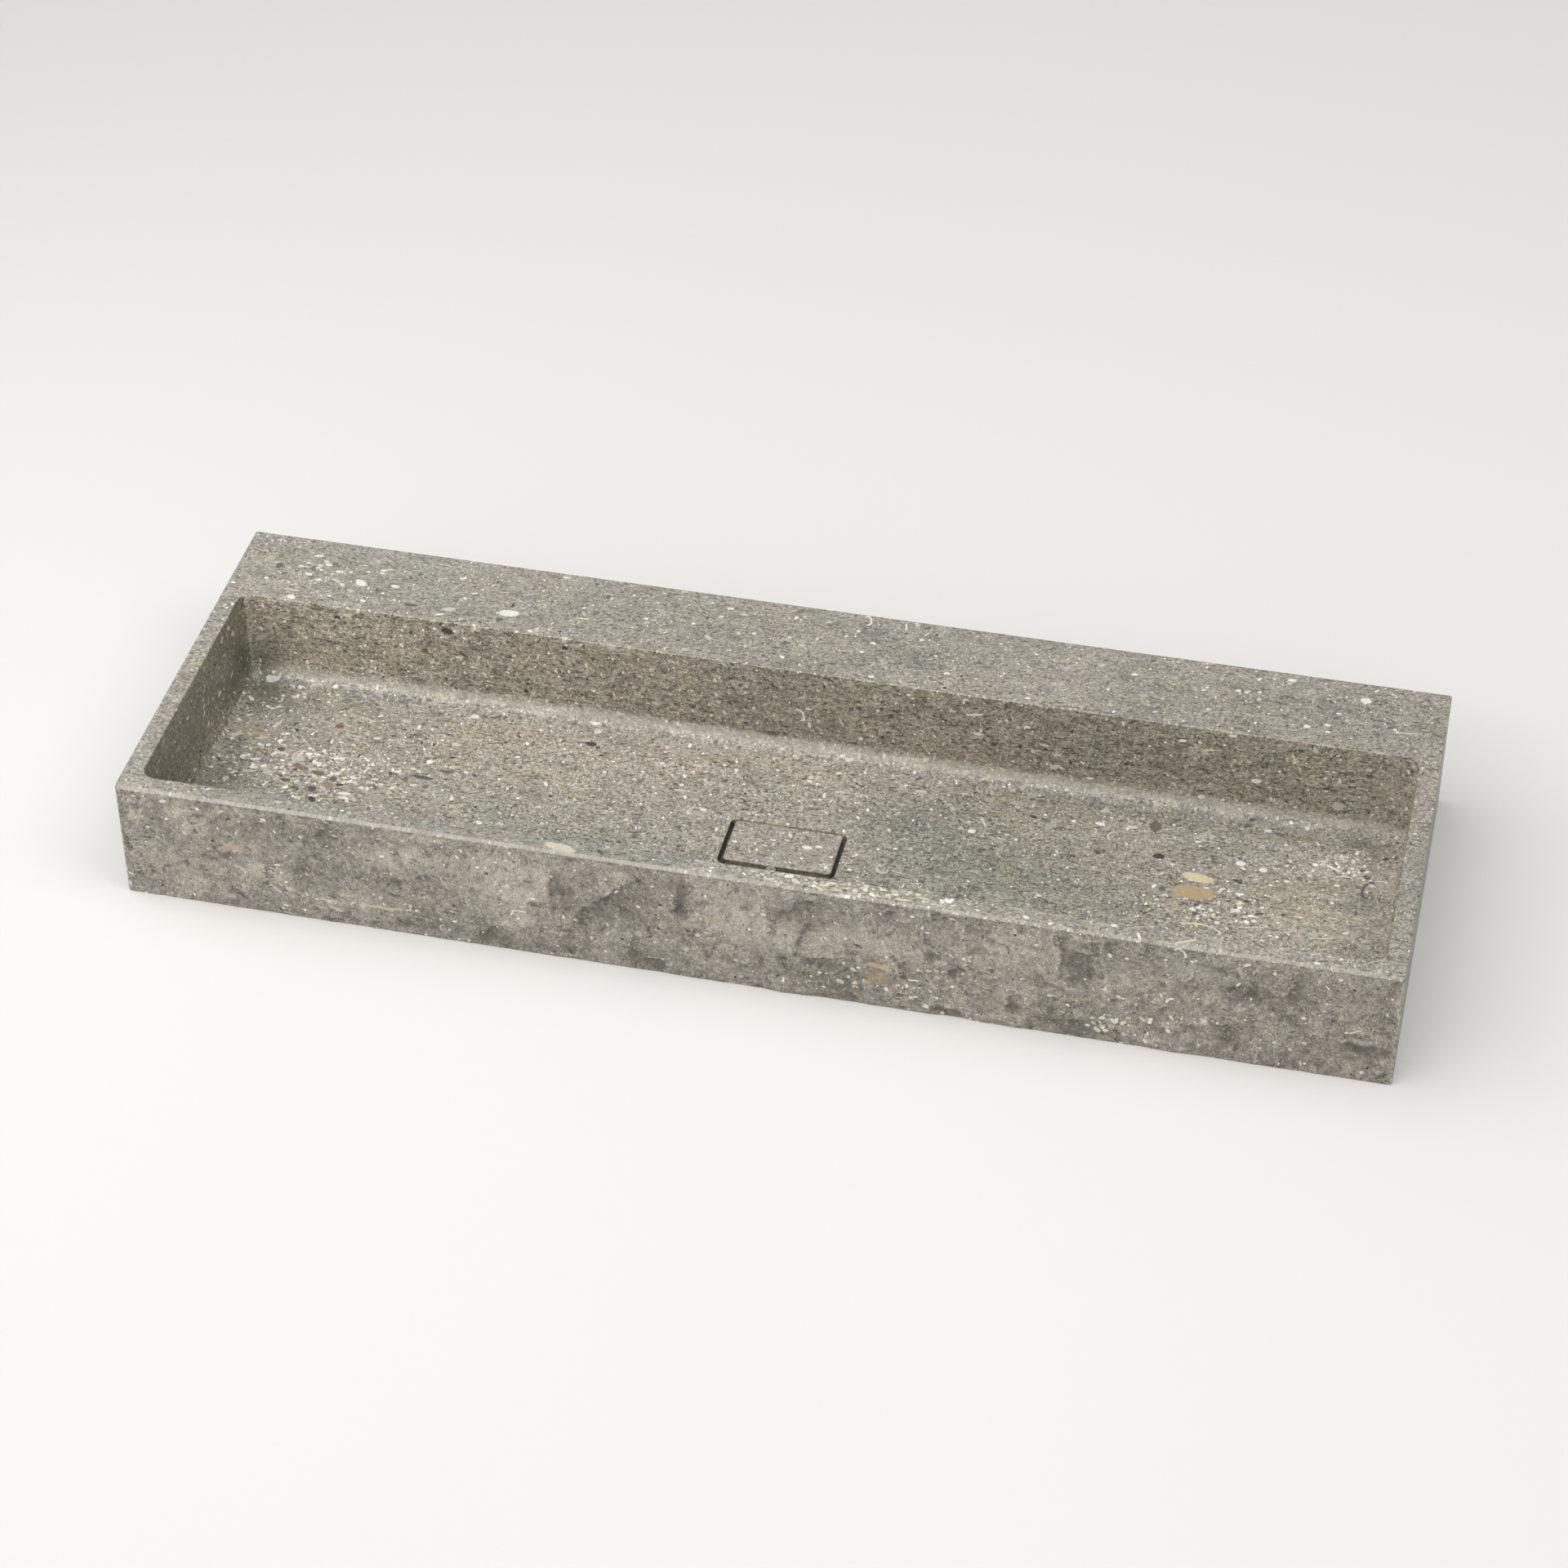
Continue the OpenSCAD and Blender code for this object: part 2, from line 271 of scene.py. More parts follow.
def recess_outline(o):
    """Outline of the drain recess, moved outwards by o, with its two nubs."""
    x0, x1 = -REC_W / 2 - o, REC_W / 2 + o
    y0, y1 = MID_Y - REC_D / 2 - o, MID_Y + REC_D / 2 + o
    r, rn = REC_R + o, NUB_R - o

    def nub(d):
        return math.sqrt(rn * rn - d * d), math.degrees(math.acos(d / rn))

    half, rise = nub(NUB_FRONT_IN - o)
    half_b, rise_b = nub(NUB_BACK_IN - o)
    cf = (NUB_FRONT_X, y0 - NUB_FRONT_IN + o)
    cb = (NUB_BACK_X, y1 + NUB_BACK_IN - o)
    return np.concatenate([
        line((x0 + r, y0), (cf[0] - half, y0), 7),
        arc(cf[0], cf[1], rn, 90 + rise, 90 - rise, 14),
        line((cf[0] + half, y0), (x1 - r, y0), 7),
        arc(x1 - r, y0 + r, r, -90, 0, 7),
        line((x1, y0 + r), (x1, y1 - r), 9),
        arc(x1 - r, y1 - r, r, 0, 90, 7),
        line((x1 - r, y1), (cb[0] + half_b, y1), 7),
        arc(cb[0], cb[1], rn, -90 + rise_b, -90 - rise_b, 14),
        line((cb[0] - half_b, y1), (x0 + r, y1), 7),
        arc(x0 + r, y1 - r, r, 90, 180, 7),
        line((x0, y1 - r), (x0, y0 + r), 9),
        arc(x0 + r, y0 + r, r, 180, 270, 7)])


def clear_of_bore(outline):
    """Cuts the nubs back where the counterbore passes under them."""
    d = outline - (0.0, MID_Y)
    far = np.hypot(d[:, 0], d[:, 1])
    return (0.0, MID_Y) + d * (np.maximum(far, 31.9) / far)[:, None]


# ------------------------------------------------------------ the stone block
NF, NZ = 740, 80                    # cells of the split face
NBACK, NSIDE, NARC = 150, 50, 3
Z_LOW, Z_HIGH = 0.8, TOP - BEVEL


def build_block():
    b = Builder()
    fx = np.linspace(-HX + CORNER_R, HX - CORNER_R, NF + 1)
    fz = np.linspace(Z_LOW, Z_HIGH, NZ + 1)
    gx, gz = np.meshgrid(fx, fz)
    ends = np.clip((HX - CORNER_R - np.abs(gx)) / 5.0, 0, 1)
    ends = ends * ends * (3 - 2 * ends)
    up = np.clip((Z_HIGH - gz) / 5.0, 0, 1) ** 0.8
    h = relief(gx, gz) * ends * up
    # rows: (z, inset of sides and back, front y, relief share)
    low = [(0.0, 0.8), (0.23, 0.23)]
    high = [(Z_HIGH + 1.0, 0.0, YF + 1.0), (Z_HIGH + 2.2, 0.0, YF + 2.2),
            (TOP - 0.23, 0.23, YF + BEVEL - 0.23), (TOP, 0.8, YF + BEVEL)]
    front, rest = [], []            # per level: front row, and the way round

    def go_round(z, e, yf):
        """The rest of a level, from the front's right end round to its left end."""
        x0, x1, y1, r = -HX + e, HX - e, YB - e, CORNER_R
        pts = np.concatenate([
            arc(x1 - r, yf + r, r, -90, 0, NARC),
            line((x1, yf + r), (x1, y1 - r), NSIDE),
            arc(x1 - r, y1 - r, r, 0, 90, NARC),
            line((x1 - r, y1), (x0 + r, y1), NBACK),
            arc(x0 + r, y1 - r, r, 90, 180, NARC),
            line((x0, y1 - r), (x0, yf + r), NSIDE),
            arc(x0 + r, yf + r, r, 180, 270, NARC)])
        return b.add([(p[0], p[1], z) for p in pts[1:]])

    wobble = 0.10 * fbm(fx, fx * 0, 7, 3, 0.6, 91)
    for z, e in low:
        f = b.add([(x, YF + e - d, z) for x, d in zip(fx, h[0])])
        front.append(f)
        rest.append([f[-1]] + go_round(z, e, YF + e) + [f[0]])
    grid = []
    for j in range(NZ + 1):
        grid.append(b.add([(x, YF - d, fz[j]) for x, d in zip(fx, h[j])]))
    sides = []
    for j in range(0, NZ + 1, 4):
        sides.append([grid[j][-1]] + go_round(fz[j], 0.0, YF) + [grid[j][0]])
    tops = []
    for k, (z, e, yf) in enumerate(high):
        w = wobble * (0.0 if k == 3 else 1.0)
        f = b.add([(x, yf - d, z) for x, d in zip(fx, w)])
        tops.append(f)
        rest.append([f[-1]] + go_round(z, e, yf) + [f[0]])
    rows = front + [grid[0]]
    ways = rest[:2] + [sides[0]]
    for k in range(2):
        b.bridge(rows[k], rows[k + 1], False)
        b.bridge(ways[k], ways[k + 1], False)
    for j in range(NZ):
        b.bridge(grid[j], grid[j + 1], False)
    for k in range(len(sides) - 1):
        a, c = sides[k], sides[k + 1]
        right = [grid[4 * k + m][-1] for m in (3, 2, 1)]
        left = [grid[4 * k + m][0] for m in (1, 2, 3)]
        b.faces.append(tuple([a[0], a[1], c[1], c[0]] + right))
        b.bridge(a[1:-1], c[1:-1], False)
        b.faces.append(tuple([a[-2], a[-1]] + left + [c[-1], c[-2]]))
    rows = [grid[-1]] + tops
    ways = [sides[-1]] + rest[2:]
    for k in range(4):
        b.bridge(rows[k], rows[k + 1], False)
        b.bridge(ways[k], ways[k + 1], False)
    bottom = front[0][:-1] + rest[0][:-1]
    top = tops[-1][:-1] + rest[-1][:-1]

    # trough: rounded rim, upright walls, round bottom edge
    nx, ny, na = 145, 36, 8
    levels = []
    for a in (90, 67.5, 45, 22.5, 0):
        o = RIM_R * (1 - math.cos(math.radians(a)))
        levels.append((o, TOP - RIM_R + RIM_R * math.sin(math.radians(a))))
    z_fillet = FLOOR_Z + FOOT_R
    for z in np.linspace(TOP - RIM_R, z_fillet, 11)[1:]:
        levels.append((0.0, z))
    for k in range(1, 11):
        a = math.radians(90 * k / 10)
        levels.append((-FOOT_R * (1 - math.cos(a)), z_fillet - FOOT_R * math.sin(a)))
    loops = []
    for o, z in levels:
        flat = round_rect(-TX - o, TX + o, TY0 - o, TY1 + o,
                          PLAN_R + (o if o > 0 else 0.36 * o), nx, ny, na)
        loops.append(b.loop(flat, z))
    for k in range(len(loops) - 1):
        b.bridge(loops[k], loops[k + 1])
    b.fill(top, [loops[0]], 8.0)

    # drain recess with its nubs, counterbore and hole
    rec = [b.loop(recess_outline(0.8 * (1 - math.cos(math.radians(a)))),
                  FLOOR_Z - 0.8 + 0.8 * math.sin(math.radians(a))) for a in (90, 60, 30, 0)]
    rec += [b.loop(recess_outline(0.0), z) for z in (25.0, 21.0)]
    rec += [b.loop(clear_of_bore(recess_outline(o)), z) for o, z in
            ((0.0, 21.0), (0.0, 19.8), (-0.23, 19.23), (-0.8, REC_Z))]
    for k in range(len(rec) - 1):
        b.bridge(rec[k], rec[k + 1])
    b.fill(loops[-1], [rec[0]], 8.0)
    bore = [b.loop(circle(0, MID_Y, r, 72), z) for r, z in
            ((31.5, REC_Z), (31.5, 16.0), (25.0, 16.0), (25.0, 7.0))]
    for k in range(3):
        b.bridge(bore[k], bore[k + 1])
    b.fill(rec[-1], [bore[0]], 6.0)

    # underside: pocket round the waste, and seats of the four bushes
    pocket = [b.loop(round_rect(-52 - o, 52 + o, MID_Y - 47 - o, MID_Y + 47 + o, 10 + o, 12, 11, 8), z)
              for o, z in ((0.0, 7.0), (0.0, 0.6), (0.18, 0.18), (0.6, 0.0))]
    for k in range(3):
        b.bridge(pocket[k], pocket[k + 1])
    b.fill(pocket[0], [bore[-1]], 10.0)
    seats = []
    for sx in (-480, 480):
        for sy in (-120, 120):
            ring = [b.loop(circle(sx, sy, r, 40), z) for r, z in
                    ((6.4, 0.0), (6.0, 0.4), (6.0, 16.0))]
            b.bridge(ring[0], ring[1])
            b.bridge(ring[1], ring[2])
            b.faces.append(tuple(ring[2]))
            seats.append(ring[0])
    b.fill(bottom, [pocket[-1]] + seats, 22.0)
    return b.mesh("stone_block"), (fx, fz, h)


def build_cover():
    b = Builder()
    x, mid = COV_W / 2, MID_Y + COV_BACK
    y0, y1 = mid - COV_D / 2, mid + COV_D / 2
    levels = []
    for a in (0, 22.5, 45, 67.5, 90):
        c = math.radians(a)
        levels.append((0.9 * (1 - math.sin(c)), COV_Z + 0.9 * (1 - math.cos(c))))
    levels.append((0.0, 22.6))
    levels.append((0.0, 24.4))
    levels.append((0.0, 26.2))
    for a in (0, 18, 36, 54, 72, 90):
        c = math.radians(a)
        levels.append((1.5 * (1 - math.cos(c)), FLOOR_Z - 1.5 + 1.5 * math.sin(c)))
    loops = []
    for e, z in levels:
        flat = round_rect(-x + e, x - e, y0 + e, y1 - e, COV_R - e * 0.6, 24, 13, 7)
        loops.append(b.loop(flat, z))
    for k in range(len(loops) - 1):
        b.bridge(loops[k], loops[k + 1])
    b.fill(loops[0], [], 8.0)
    b.fill(loops[-1], [], 5.0)
    return b.mesh("stone_cover")


# ------------------------------------------------ pebbles, shells and zones
WHITE, CREAM, PALE = (0.80, 0.78, 0.73), (0.70, 0.62, 0.46), (0.58, 0.555, 0.49)
DARK, OLIVE, GREY = (0.035, 0.030, 0.026), (0.12, 0.11, 0.075), (0.11, 0.108, 0.095)
TAN, BROWN, RUST = (0.46, 0.34, 0.19), (0.22, 0.155, 0.10), (0.20, 0.095, 0.06)
# the last colour here is painted shade: soft dark patches for hollows of the split face
PLUM, BLUE, PIT_SHADE = (0.085, 0.065, 0.062), (0.30, 0.33, 0.34), (0.120, 0.111, 0.090)
E, C, S = 1, 2, 3                   # pebble, shell arc, soft patch
# sheet: x, y (or z on upright faces), half length, half width, turn, kind, colour
PEBBLES = {
    "top": [
        (-559, 155.5, 4.4, 3.8, 80, E, GREY), (-525, 179, 5, 1.9, 15, E, WHITE),
        (-511, 167, 3.8, 2.2, -15, E, WHITE), (-497.5, 158.5, 4, 1.9, 8, E, WHITE),
        (-485.5, 160, 2, 1.5, 0, E, WHITE), (-526, 148, 3.8, 2.5, -10, E, WHITE),
        (-470.8, 145.5, 6.4, 4.5, -30, E, WHITE), (-436, 147.5, 4.5, 2.4, -5, E, WHITE),
        (-455, 170, 3.4, 1.7, 15, E, WHITE), (-448.5, 172.6, 3.2, 1.5, -5, E, CREAM),
        (-496, 144, 5.6, 1.9, -20, E, PALE), (-513.8, 141, 3.6, 1.6, 5, E, WHITE),
        (-565, 133, 2.4, 2, 0, E, WHITE), (-541, 131, 2.3, 2, 0, E, PALE),
        (-477, 131, 3.4, 2.2, 0, E, PALE), (-531, 108.5, 4.6, 3.5, -30, E, WHITE),
        (-412.5, 121.8, 7.2, 2.4, 0, E, GREY), (-374, 123.4, 7.4, 3.1, 12, E, PALE),
        (-380.8, 113.4, 4.8, 1.6, 22, E, WHITE), (-314.5, 130.2, 10.5, 5.2, 6, E, WHITE),
        (-321, 118.5, 3.6, 3.2, 0, E, GREY), (-338, 110.6, 1.8, 1.5, 0, E, DARK),
        (-286.5, 107.4, 3, 1.8, -30, E, WHITE), (-375, 174.5, 2.7, 1.5, 20, E, WHITE),
        (-356, 153.8, 3.2, 1.3, 22, E, WHITE), (-363, 144, 2.4, 1.8, -20, E, WHITE),
        (-327, 162, 4.6, 0.9, 4, E, PALE), (-226, 178, 2.6, 2.4, 0, E, GREY),
        (-274, 198.6, 4, 1.3, 0, E, WHITE), (-236, 139.5, 3, 2.8, 0, E, TAN),
        (-241, 138, 6, 1.2, 5, E, CREAM), (-534, 120, 9, 0.9, 0, E, CREAM),
        (31, 196, 8, 4.6, -75, C, WHITE), (70, 195, 5.6, 1.1, 100, E, WHITE),
        (-103.8, 185.5, 3.6, 1.9, 0, E, WHITE), (-88.8, 178.8, 3.3, 1.6, 20, E, PALE),
        (-109.5, 171.8, 2.5, 1.2, 10, E, WHITE), (-38, 185.5, 3.2, 1.7, 70, E, WHITE),
        (-5, 186, 4, 1.7, 18, E, PALE), (26, 178, 2.4, 1.8, 0, E, WHITE),
        (88.8, 178, 2.4, 2, 0, E, WHITE), (92, 187.5, 4, 1.4, 60, E, PALE),
        (43.8, 162.5, 3.1, 1.8, -10, E, WHITE), (35.8, 146.8, 2.1, 1.8, 0, E, WHITE),
        (-181, 151.8, 2.4, 1.7, 0, E, WHITE), (-173, 150.5, 3.2, 1.4, 0, E, PALE),
        (-72.5, 152, 2.6, 1.4, -15, E, WHITE), (-115, 136.3, 4.6, 2.4, -35, E, PALE),
        (-132.5, 112.5, 3.3, 2.3, 0, E, PALE), (-37.5, 122, 3, 2, -30, E, WHITE),
        (53, 111, 3, 2, 0, E, WHITE), (122.5, 132, 3.4, 1.6, 0, E, WHITE),
        (125, 109.5, 2.2, 1.6, 0, E, DARK), (-10.5, 157.5, 2.6, 1.1, 90, E, WHITE),
        (298.8, 170, 3.4, 1.9, 5, E, WHITE), (266, 177.5, 4, 2, 25, E, PALE),
        (400, 167.5, 2.8, 1.9, 10, E, WHITE), (420, 169.5, 2.3, 1.7, 0, E, WHITE),
        (421, 158.8, 2.5, 2.2, 80, E, PALE), (448, 194.5, 4.4, 2.6, 0, E, WHITE),
        (446, 189, 2.4, 1.6, 0, E, PALE), (520.8, 178.8, 5.3, 4.6, 0, E, WHITE),
        (497, 147.5, 4.6, 3.2, 0, S, GREY), (498, 153.8, 2.8, 1.4, 0, E, WHITE),
        (471, 128, 3.2, 2.3, 0, E, WHITE), (490, 134, 3.2, 1.9, -10, E, WHITE),
        (490.8, 124, 2.7, 1.7, 0, E, WHITE), (205.5, 111.8, 2.8, 1.7, 0, E, WHITE),
        (319.5, 122.5, 9, 5, 0, S, (0.16, 0.165, 0.16)), (552.5, 141, 2.2, 1.8, 0, E, WHITE),
        (564, 138.5, 14, 0.8, 6, E, CREAM), (-444, -193.6, 3.5, 1.9, -10, E, PALE),
        (-172, -197.8, 16, 5.2, -11, E, (0.62, 0.56, 0.43)), (-134.5, -195.5, 4.4, 2, -38, E, (0.07, 0.07, 0.068)),
        (-140, -199.6, 3.6, 2.2, 10, E, BLUE), (41, -190, 4.6, 2.4, 25, E, WHITE),
        (49, -196, 4.4, 2.2, -20, E, CREAM), (75, -195, 4.6, 1.7, 20, E, CREAM),
        (104, -201.2, 6, 2, 0, C, CREAM), (128, -190, 4, 1.5, 10, E, CREAM),
        (148, -199, 7.5, 1.4, 4, E, CREAM), (165, -193, 6.5, 1.6, -5, E, PALE),
        (60, -188.5, 6, 1.3, 0, E, PALE), (8, -190.5, 3.2, 1.4, 10, E, PALE),
        (17, -193, 2.6, 1.3, -20, E, CREAM), (33, -189.5, 3.4, 1.5, 15, E, PALE),
        (56, -191.5, 2.4, 1.4, 0, E, WHITE), (67, -190, 3.0, 1.2, 20, E, PALE),
        (70, -199.5, 3.2, 1.5, -10, E, CREAM), (82, -191, 2.8, 1.3, 10, E, WHITE),
        (93, -190, 3.2, 1.2, 0, E, PALE), (97, -194.5, 2.2, 1.3, 30, E, CREAM),
        (110, -190.5, 3.6, 1.2, 12, E, PALE), (112, -197.5, 2.4, 1.4, 0, E, WHITE),
        (125, -199, 3.0, 1.3, -15, E, CREAM), (138, -191.5, 3.2, 1.3, 8, E, PALE),
        (143, -195, 2.6, 1.2, 20, E, WHITE), (155, -190.5, 3.0, 1.2, 0, E, CREAM),
        (160, -197.5, 2.6, 1.2, -10, E, PALE), (176, -199, 3.4, 1.3, 10, E, PALE),
        (183, -192, 2.6, 1.2, 0, E, WHITE), (194, -196.5, 3.2, 1.2, 15, E, CREAM),
        (207, -191.5, 2.8, 1.2, 0, E, PALE), (216, -198, 2.4, 1.2, -20, E, WHITE), (88, -199, 5, 1.2, 15, E, PALE),
        (118, -195, 6, 1.3, -8, E, PALE), (26, -198, 6, 1.4, 0, E, PALE),
        (260, -197.5, 3.1, 2.1, -15, E, WHITE), (338.8, -191, 2.9, 2.4, 0, E, WHITE),
        (362.5, -199.6, 4.6, 1.5, -65, E, WHITE), (405, -197.5, 11, 1.3, 25, E, CREAM),
        (521.8, -200.6, 3.4, 1.7, 0, E, WHITE), (542, -191, 2, 1.3, 30, E, WHITE),
        (283, -200.8, 2.4, 1.6, 20, E, WHITE)],
    "floor": [
        (-553.5, 96, 8, 4.4, 25, E, WHITE), (-510, 98, 7, 2.2, -45, C, PALE),
        (-341, 85.5, 4.2, 3.2, 0, E, WHITE), (-220.5, 98, 5.4, 3, 10, E, WHITE),
        (-217.8, 70, 5.6, 3.6, 0, E, DARK), (-210, 66, 2.4, 1.9, 0, E, DARK),
        (-204, 55, 2.7, 1.8, 20, E, DARK), (-406, 63.8, 5, 2, -20, E, PALE),
        (-347, 40, 4.6, 2.5, -15, E, CREAM), (-437, 36.5, 3.4, 1.7, -60, E, PALE),
        (-426, 31.6, 3.7, 1.4, 8, E, WHITE), (-380.6, 34.8, 2, 1.5, 80, E, DARK),
        (-403.5, 50.5, 2.4, 1.3, 15, E, DARK), (-467, 41.8, 4.6, 3.4, 0, E, RUST),
        (-493.5, 29, 9, 3.4, -8, C, PALE), (-434.8, 18.8, 6, 4, -35, C, PALE),
        (-467.5, 17.5, 4.2, 1.2, 95, E, WHITE), (-364.8, -15.8, 10.8, 2.6, -3, E, (0.085, 0.08, 0.072)),
        (-344.8, 19.5, 3.2, 1.7, 10, E, DARK), (-343.5, -2.5, 5, 2.6, 0, E, GREY),
        (-368.5, 13, 2.4, 1.6, 0, E, GREY), (-245, 1.2, 3.8, 1.9, -65, E, WHITE),
        (-325.5, 0.8, 2.4, 2, -30, E, WHITE), (-283, 34.5, 2.8, 1.8, 15, E, WHITE),
        (-369.5, -28.8, 3.8, 1.4, 20, E, WHITE), (-292, -68.8, 3.2, 2.3, -30, E, WHITE),
        (-272, -66, 3.8, 2.4, 0, E, PALE), (-206, 2.5, 11.5, 0.8, 22, E, PALE),
        (-511, -14, 9, 4.4, 12, C, WHITE), (-492, -15, 7, 4.4, 0, E, PALE),
        (-471, -17.6, 5.4, 2.4, -5, E, WHITE), (-475, -5, 3.6, 2, 0, E, WHITE),
        (-450, -5.8, 3.7, 2.2, 0, E, WHITE), (-514, -41, 6.2, 4, -20, E, PALE),
        (-532, -25, 4.2, 2, 0, E, WHITE), (-431, -56, 6.6, 2.6, 5, E, WHITE),
        (-430, -62, 6, 2.3, 0, E, WHITE), (-533, -43.6, 6, 2.4, 10, E, PALE),
        (-551, -58.6, 3.8, 2.8, 40, E, PALE), (-503, -49.5, 3.1, 2.4, 0, E, PALE),
        (-430, -31.5, 4.1, 2, -10, E, WHITE), (-408.5, -28.8, 3.2, 1.2, 0, E, WHITE),
        (-484.8, -26.4, 9, 4.8, -10, E, BROWN), (-466, -31.9, 7, 3.4, -12, E, OLIVE),
        (-451, -47.6, 8, 4.6, -20, E, (0.30, 0.22, 0.155)), (-471, -38, 6, 3, 10, E, CREAM),
        (-512.5, -5, 4.2, 2.6, 0, E, PLUM), (-524.5, -4.4, 3.1, 1.6, 10, E, DARK),
        (-493.5, -48.8, 5.4, 2.5, 0, E, PLUM), (-463.5, -56.4, 4.6, 4, 60, E, PLUM),
        (-459, -71, 4.6, 3.2, -40, E, DARK), (-440, -44.6, 4.4, 1.9, 12, E, DARK),
        (-446, -37.6, 6, 3.6, -30, E, (0.10, 0.115, 0.095)), (-545, 14, 19, 10, 12, S, (0.42, 0.36, 0.27)),
        (-562, 8, 6, 2.6, 30, E, CREAM), (-536, 8, 7, 1.8, 15, E, CREAM),
        (-400, -56, 12, 5, 10, S, (0.36, 0.34, 0.22)), (-556, 32, 5, 1.4, -55, E, PALE),
        (34.8, 97, 4.2, 2.3, 15, E, CREAM), (29, 80, 2.7, 1.7, 0, E, WHITE),
        (-69.8, 62, 2.6, 2, -60, E, WHITE), (-142.8, 57, 2.6, 1.6, 0, E, WHITE),
        (-116.5, 28.8, 2.6, 2.2, 0, E, WHITE), (-116.5, 20.5, 5.6, 1.7, 0, E, PALE),
        (-86.8, -2.5, 3.4, 2.4, 0, E, WHITE), (-84.5, -9.5, 6, 4.6, 40, S, (0.42, 0.41, 0.37)),
        (-75.5, -21, 7, 4, 0, S, (0.32, 0.26, 0.18)), (22, 43.8, 4.6, 1.4, -85, E, WHITE),
        (-36, 34.5, 5.2, 0.9, -35, E, PALE), (85, 70, 6, 0.9, 12, E, DARK),
        (-78.5, 72.5, 5, 0.9, -40, E, DARK), (111.5, 70.8, 5, 1.5, 0, E, PALE),
        (147, 51.8, 3.4, 1.8, -35, E, PALE), (179, 39.5, 8.4, 1.5, -62, E, PALE),
        (170.8, 23.3, 4.1, 3.1, 10, E, WHITE), (109, -5.5, 6.4, 3, 40, C, PALE),
        (99, -50, 6.5, 5.6, 160, C, PALE), (104.8, -18, 2.5, 1.4, 0, E, WHITE),
        (105, -38, 3.4, 1.4, 0, E, GREY), (340.8, 69.3, 7.6, 6, 90, E, OLIVE),
        (319.8, 63.3, 4.9, 2.3, 8, E, CREAM), (290, 81, 5, 2.4, 20, E, PALE),
        (289, 61, 5, 2.4, -10, E, WHITE), (284, 48.8, 5.4, 3.4, -95, C, PALE),
        (303, 46.3, 7, 4.4, 75, C, CREAM), (447, 86.3, 3.8, 1.9, 12, E, WHITE),
        (483, 94.3, 2.3, 1.8, 0, E, WHITE), (430, 95, 3.1, 1.8, 0, E, DARK),
        (224.8, 57.5, 4.3, 1.9, -15, E, DARK), (263.3, 59.3, 2.3, 2, 0, E, WHITE),
        (350.8, 26.8, 5.7, 4, 0, E, DARK), (428, 33.3, 5.1, 3.5, 10, E, WHITE),
        (449.8, 28.8, 4.2, 3.2, 0, E, WHITE), (474, 17.5, 2.5, 1.9, 0, E, WHITE),
        (506, 55, 5.4, 1.3, 62, E, PALE), (515, 45.6, 8.4, 1.8, -27, E, WHITE),
        (526, 34.5, 8.6, 2.2, 6, C, WHITE), (541, 37.5, 3.4, 1.7, 32, E, PALE),
        (560, 34.5, 6.8, 2.8, 8, C, WHITE), (540, 53.8, 5, 1.3, 0, E, PALE),
        (531.5, 60, 3, 1.9, 80, E, WHITE), (391.5, 4.3, 15.8, 6, -9, E, (0.68, 0.57, 0.36)),
        (390, -17, 21, 9.6, -2, E, (0.44, 0.33, 0.19)), (374, -34.5, 7.4, 4.6, 0, S, TAN),
        (377, -46, 8, 6, 20, S, (0.36, 0.28, 0.20)), (428.5, 7.5, 5.4, 2.4, -25, E, (0.06, 0.065, 0.055)),
        (361, -19, 3.6, 3, 0, E, GREY), (357, -22.5, 5, 3.8, 30, E, BLUE),
        (414, -8.5, 2.5, 1.8, 0, E, WHITE), (434, -33.8, 3.6, 2.7, -20, E, WHITE),
        (392.8, -40.8, 3.4, 2.5, 0, E, WHITE), (404, -47, 3.5, 2, 0, E, WHITE),
        (390, -46, 3.4, 2.2, 20, E, WHITE), (451.5, -45, 2.7, 1.9, 0, E, WHITE),
        (418, -55, 2.7, 1.9, 0, E, WHITE), (536.5, -43, 3.4, 2, 20, E, WHITE),
        (545, -20.8, 5, 1.9, -12, E, PALE), (433, -10.2, 4.4, 1.6, 8, E, WHITE),
        (441, -19, 3.2, 2.2, 0, E, PLUM), (455, -34, 4.6, 1.8, 20, E, PLUM),
        (396, -61, 13, 1.4, 8, E, CREAM), (411, -66, 14, 5, -18, C, CREAM),
        (450, -54, 13, 0.8, 12, E, CREAM), (249.8, -54, 2.6, 1.6, 0, E, WHITE),
        (519, -54, 12, 0.9, 12, E, CREAM), (551, 22, 14, 7, 80, C, GREY)],
    "back": [
        (-369.8, 117.8, 6.4, 4.1, -12, E, (0.045, 0.032, 0.03)), (-359.5, 119, 3.6, 1.7, 55, E, PALE),
        (-371, 110.4, 3, 1.8, 0, E, PALE), (-371.5, 124.5, 4, 1.4, 0, E, PALE),
        (-250.5, 117.8, 3.1, 2.6, 0, E, DARK), (-292.3, 56.5, 2.7, 2.5, 0, E, DARK),
        (-444.8, 89.3, 2.4, 1.6, -20, E, DARK), (-364.8, 47.5, 2.1, 1.6, 0, E, DARK),
        (-314.8, 113, 6, 3, -18, C, PALE), (-284, 107.8, 3, 1.8, -70, C, PALE),
        (-519.8, 112.8, 3.2, 2.1, -15, E, PALE), (-554.8, 103.3, 5.6, 1.8, -4, E, CREAM),
        (-564.8, 77.3, 7, 3.2, 28, E, PALE), (-539, 50.4, 4, 1.8, 12, E, PALE),
        (-531, 52.4, 3, 1.6, 0, E, PALE), (-452.3, 54, 3.1, 2, 20, E, WHITE),
        (-461, 83.3, 1.8, 1.5, 0, E, WHITE), (-376, 92, 2.7, 1.8, 0, E, PALE),
        (-360.5, 87, 2.6, 1.6, 0, E, WHITE), (-345, 77, 4.4, 1, 0, E, WHITE),
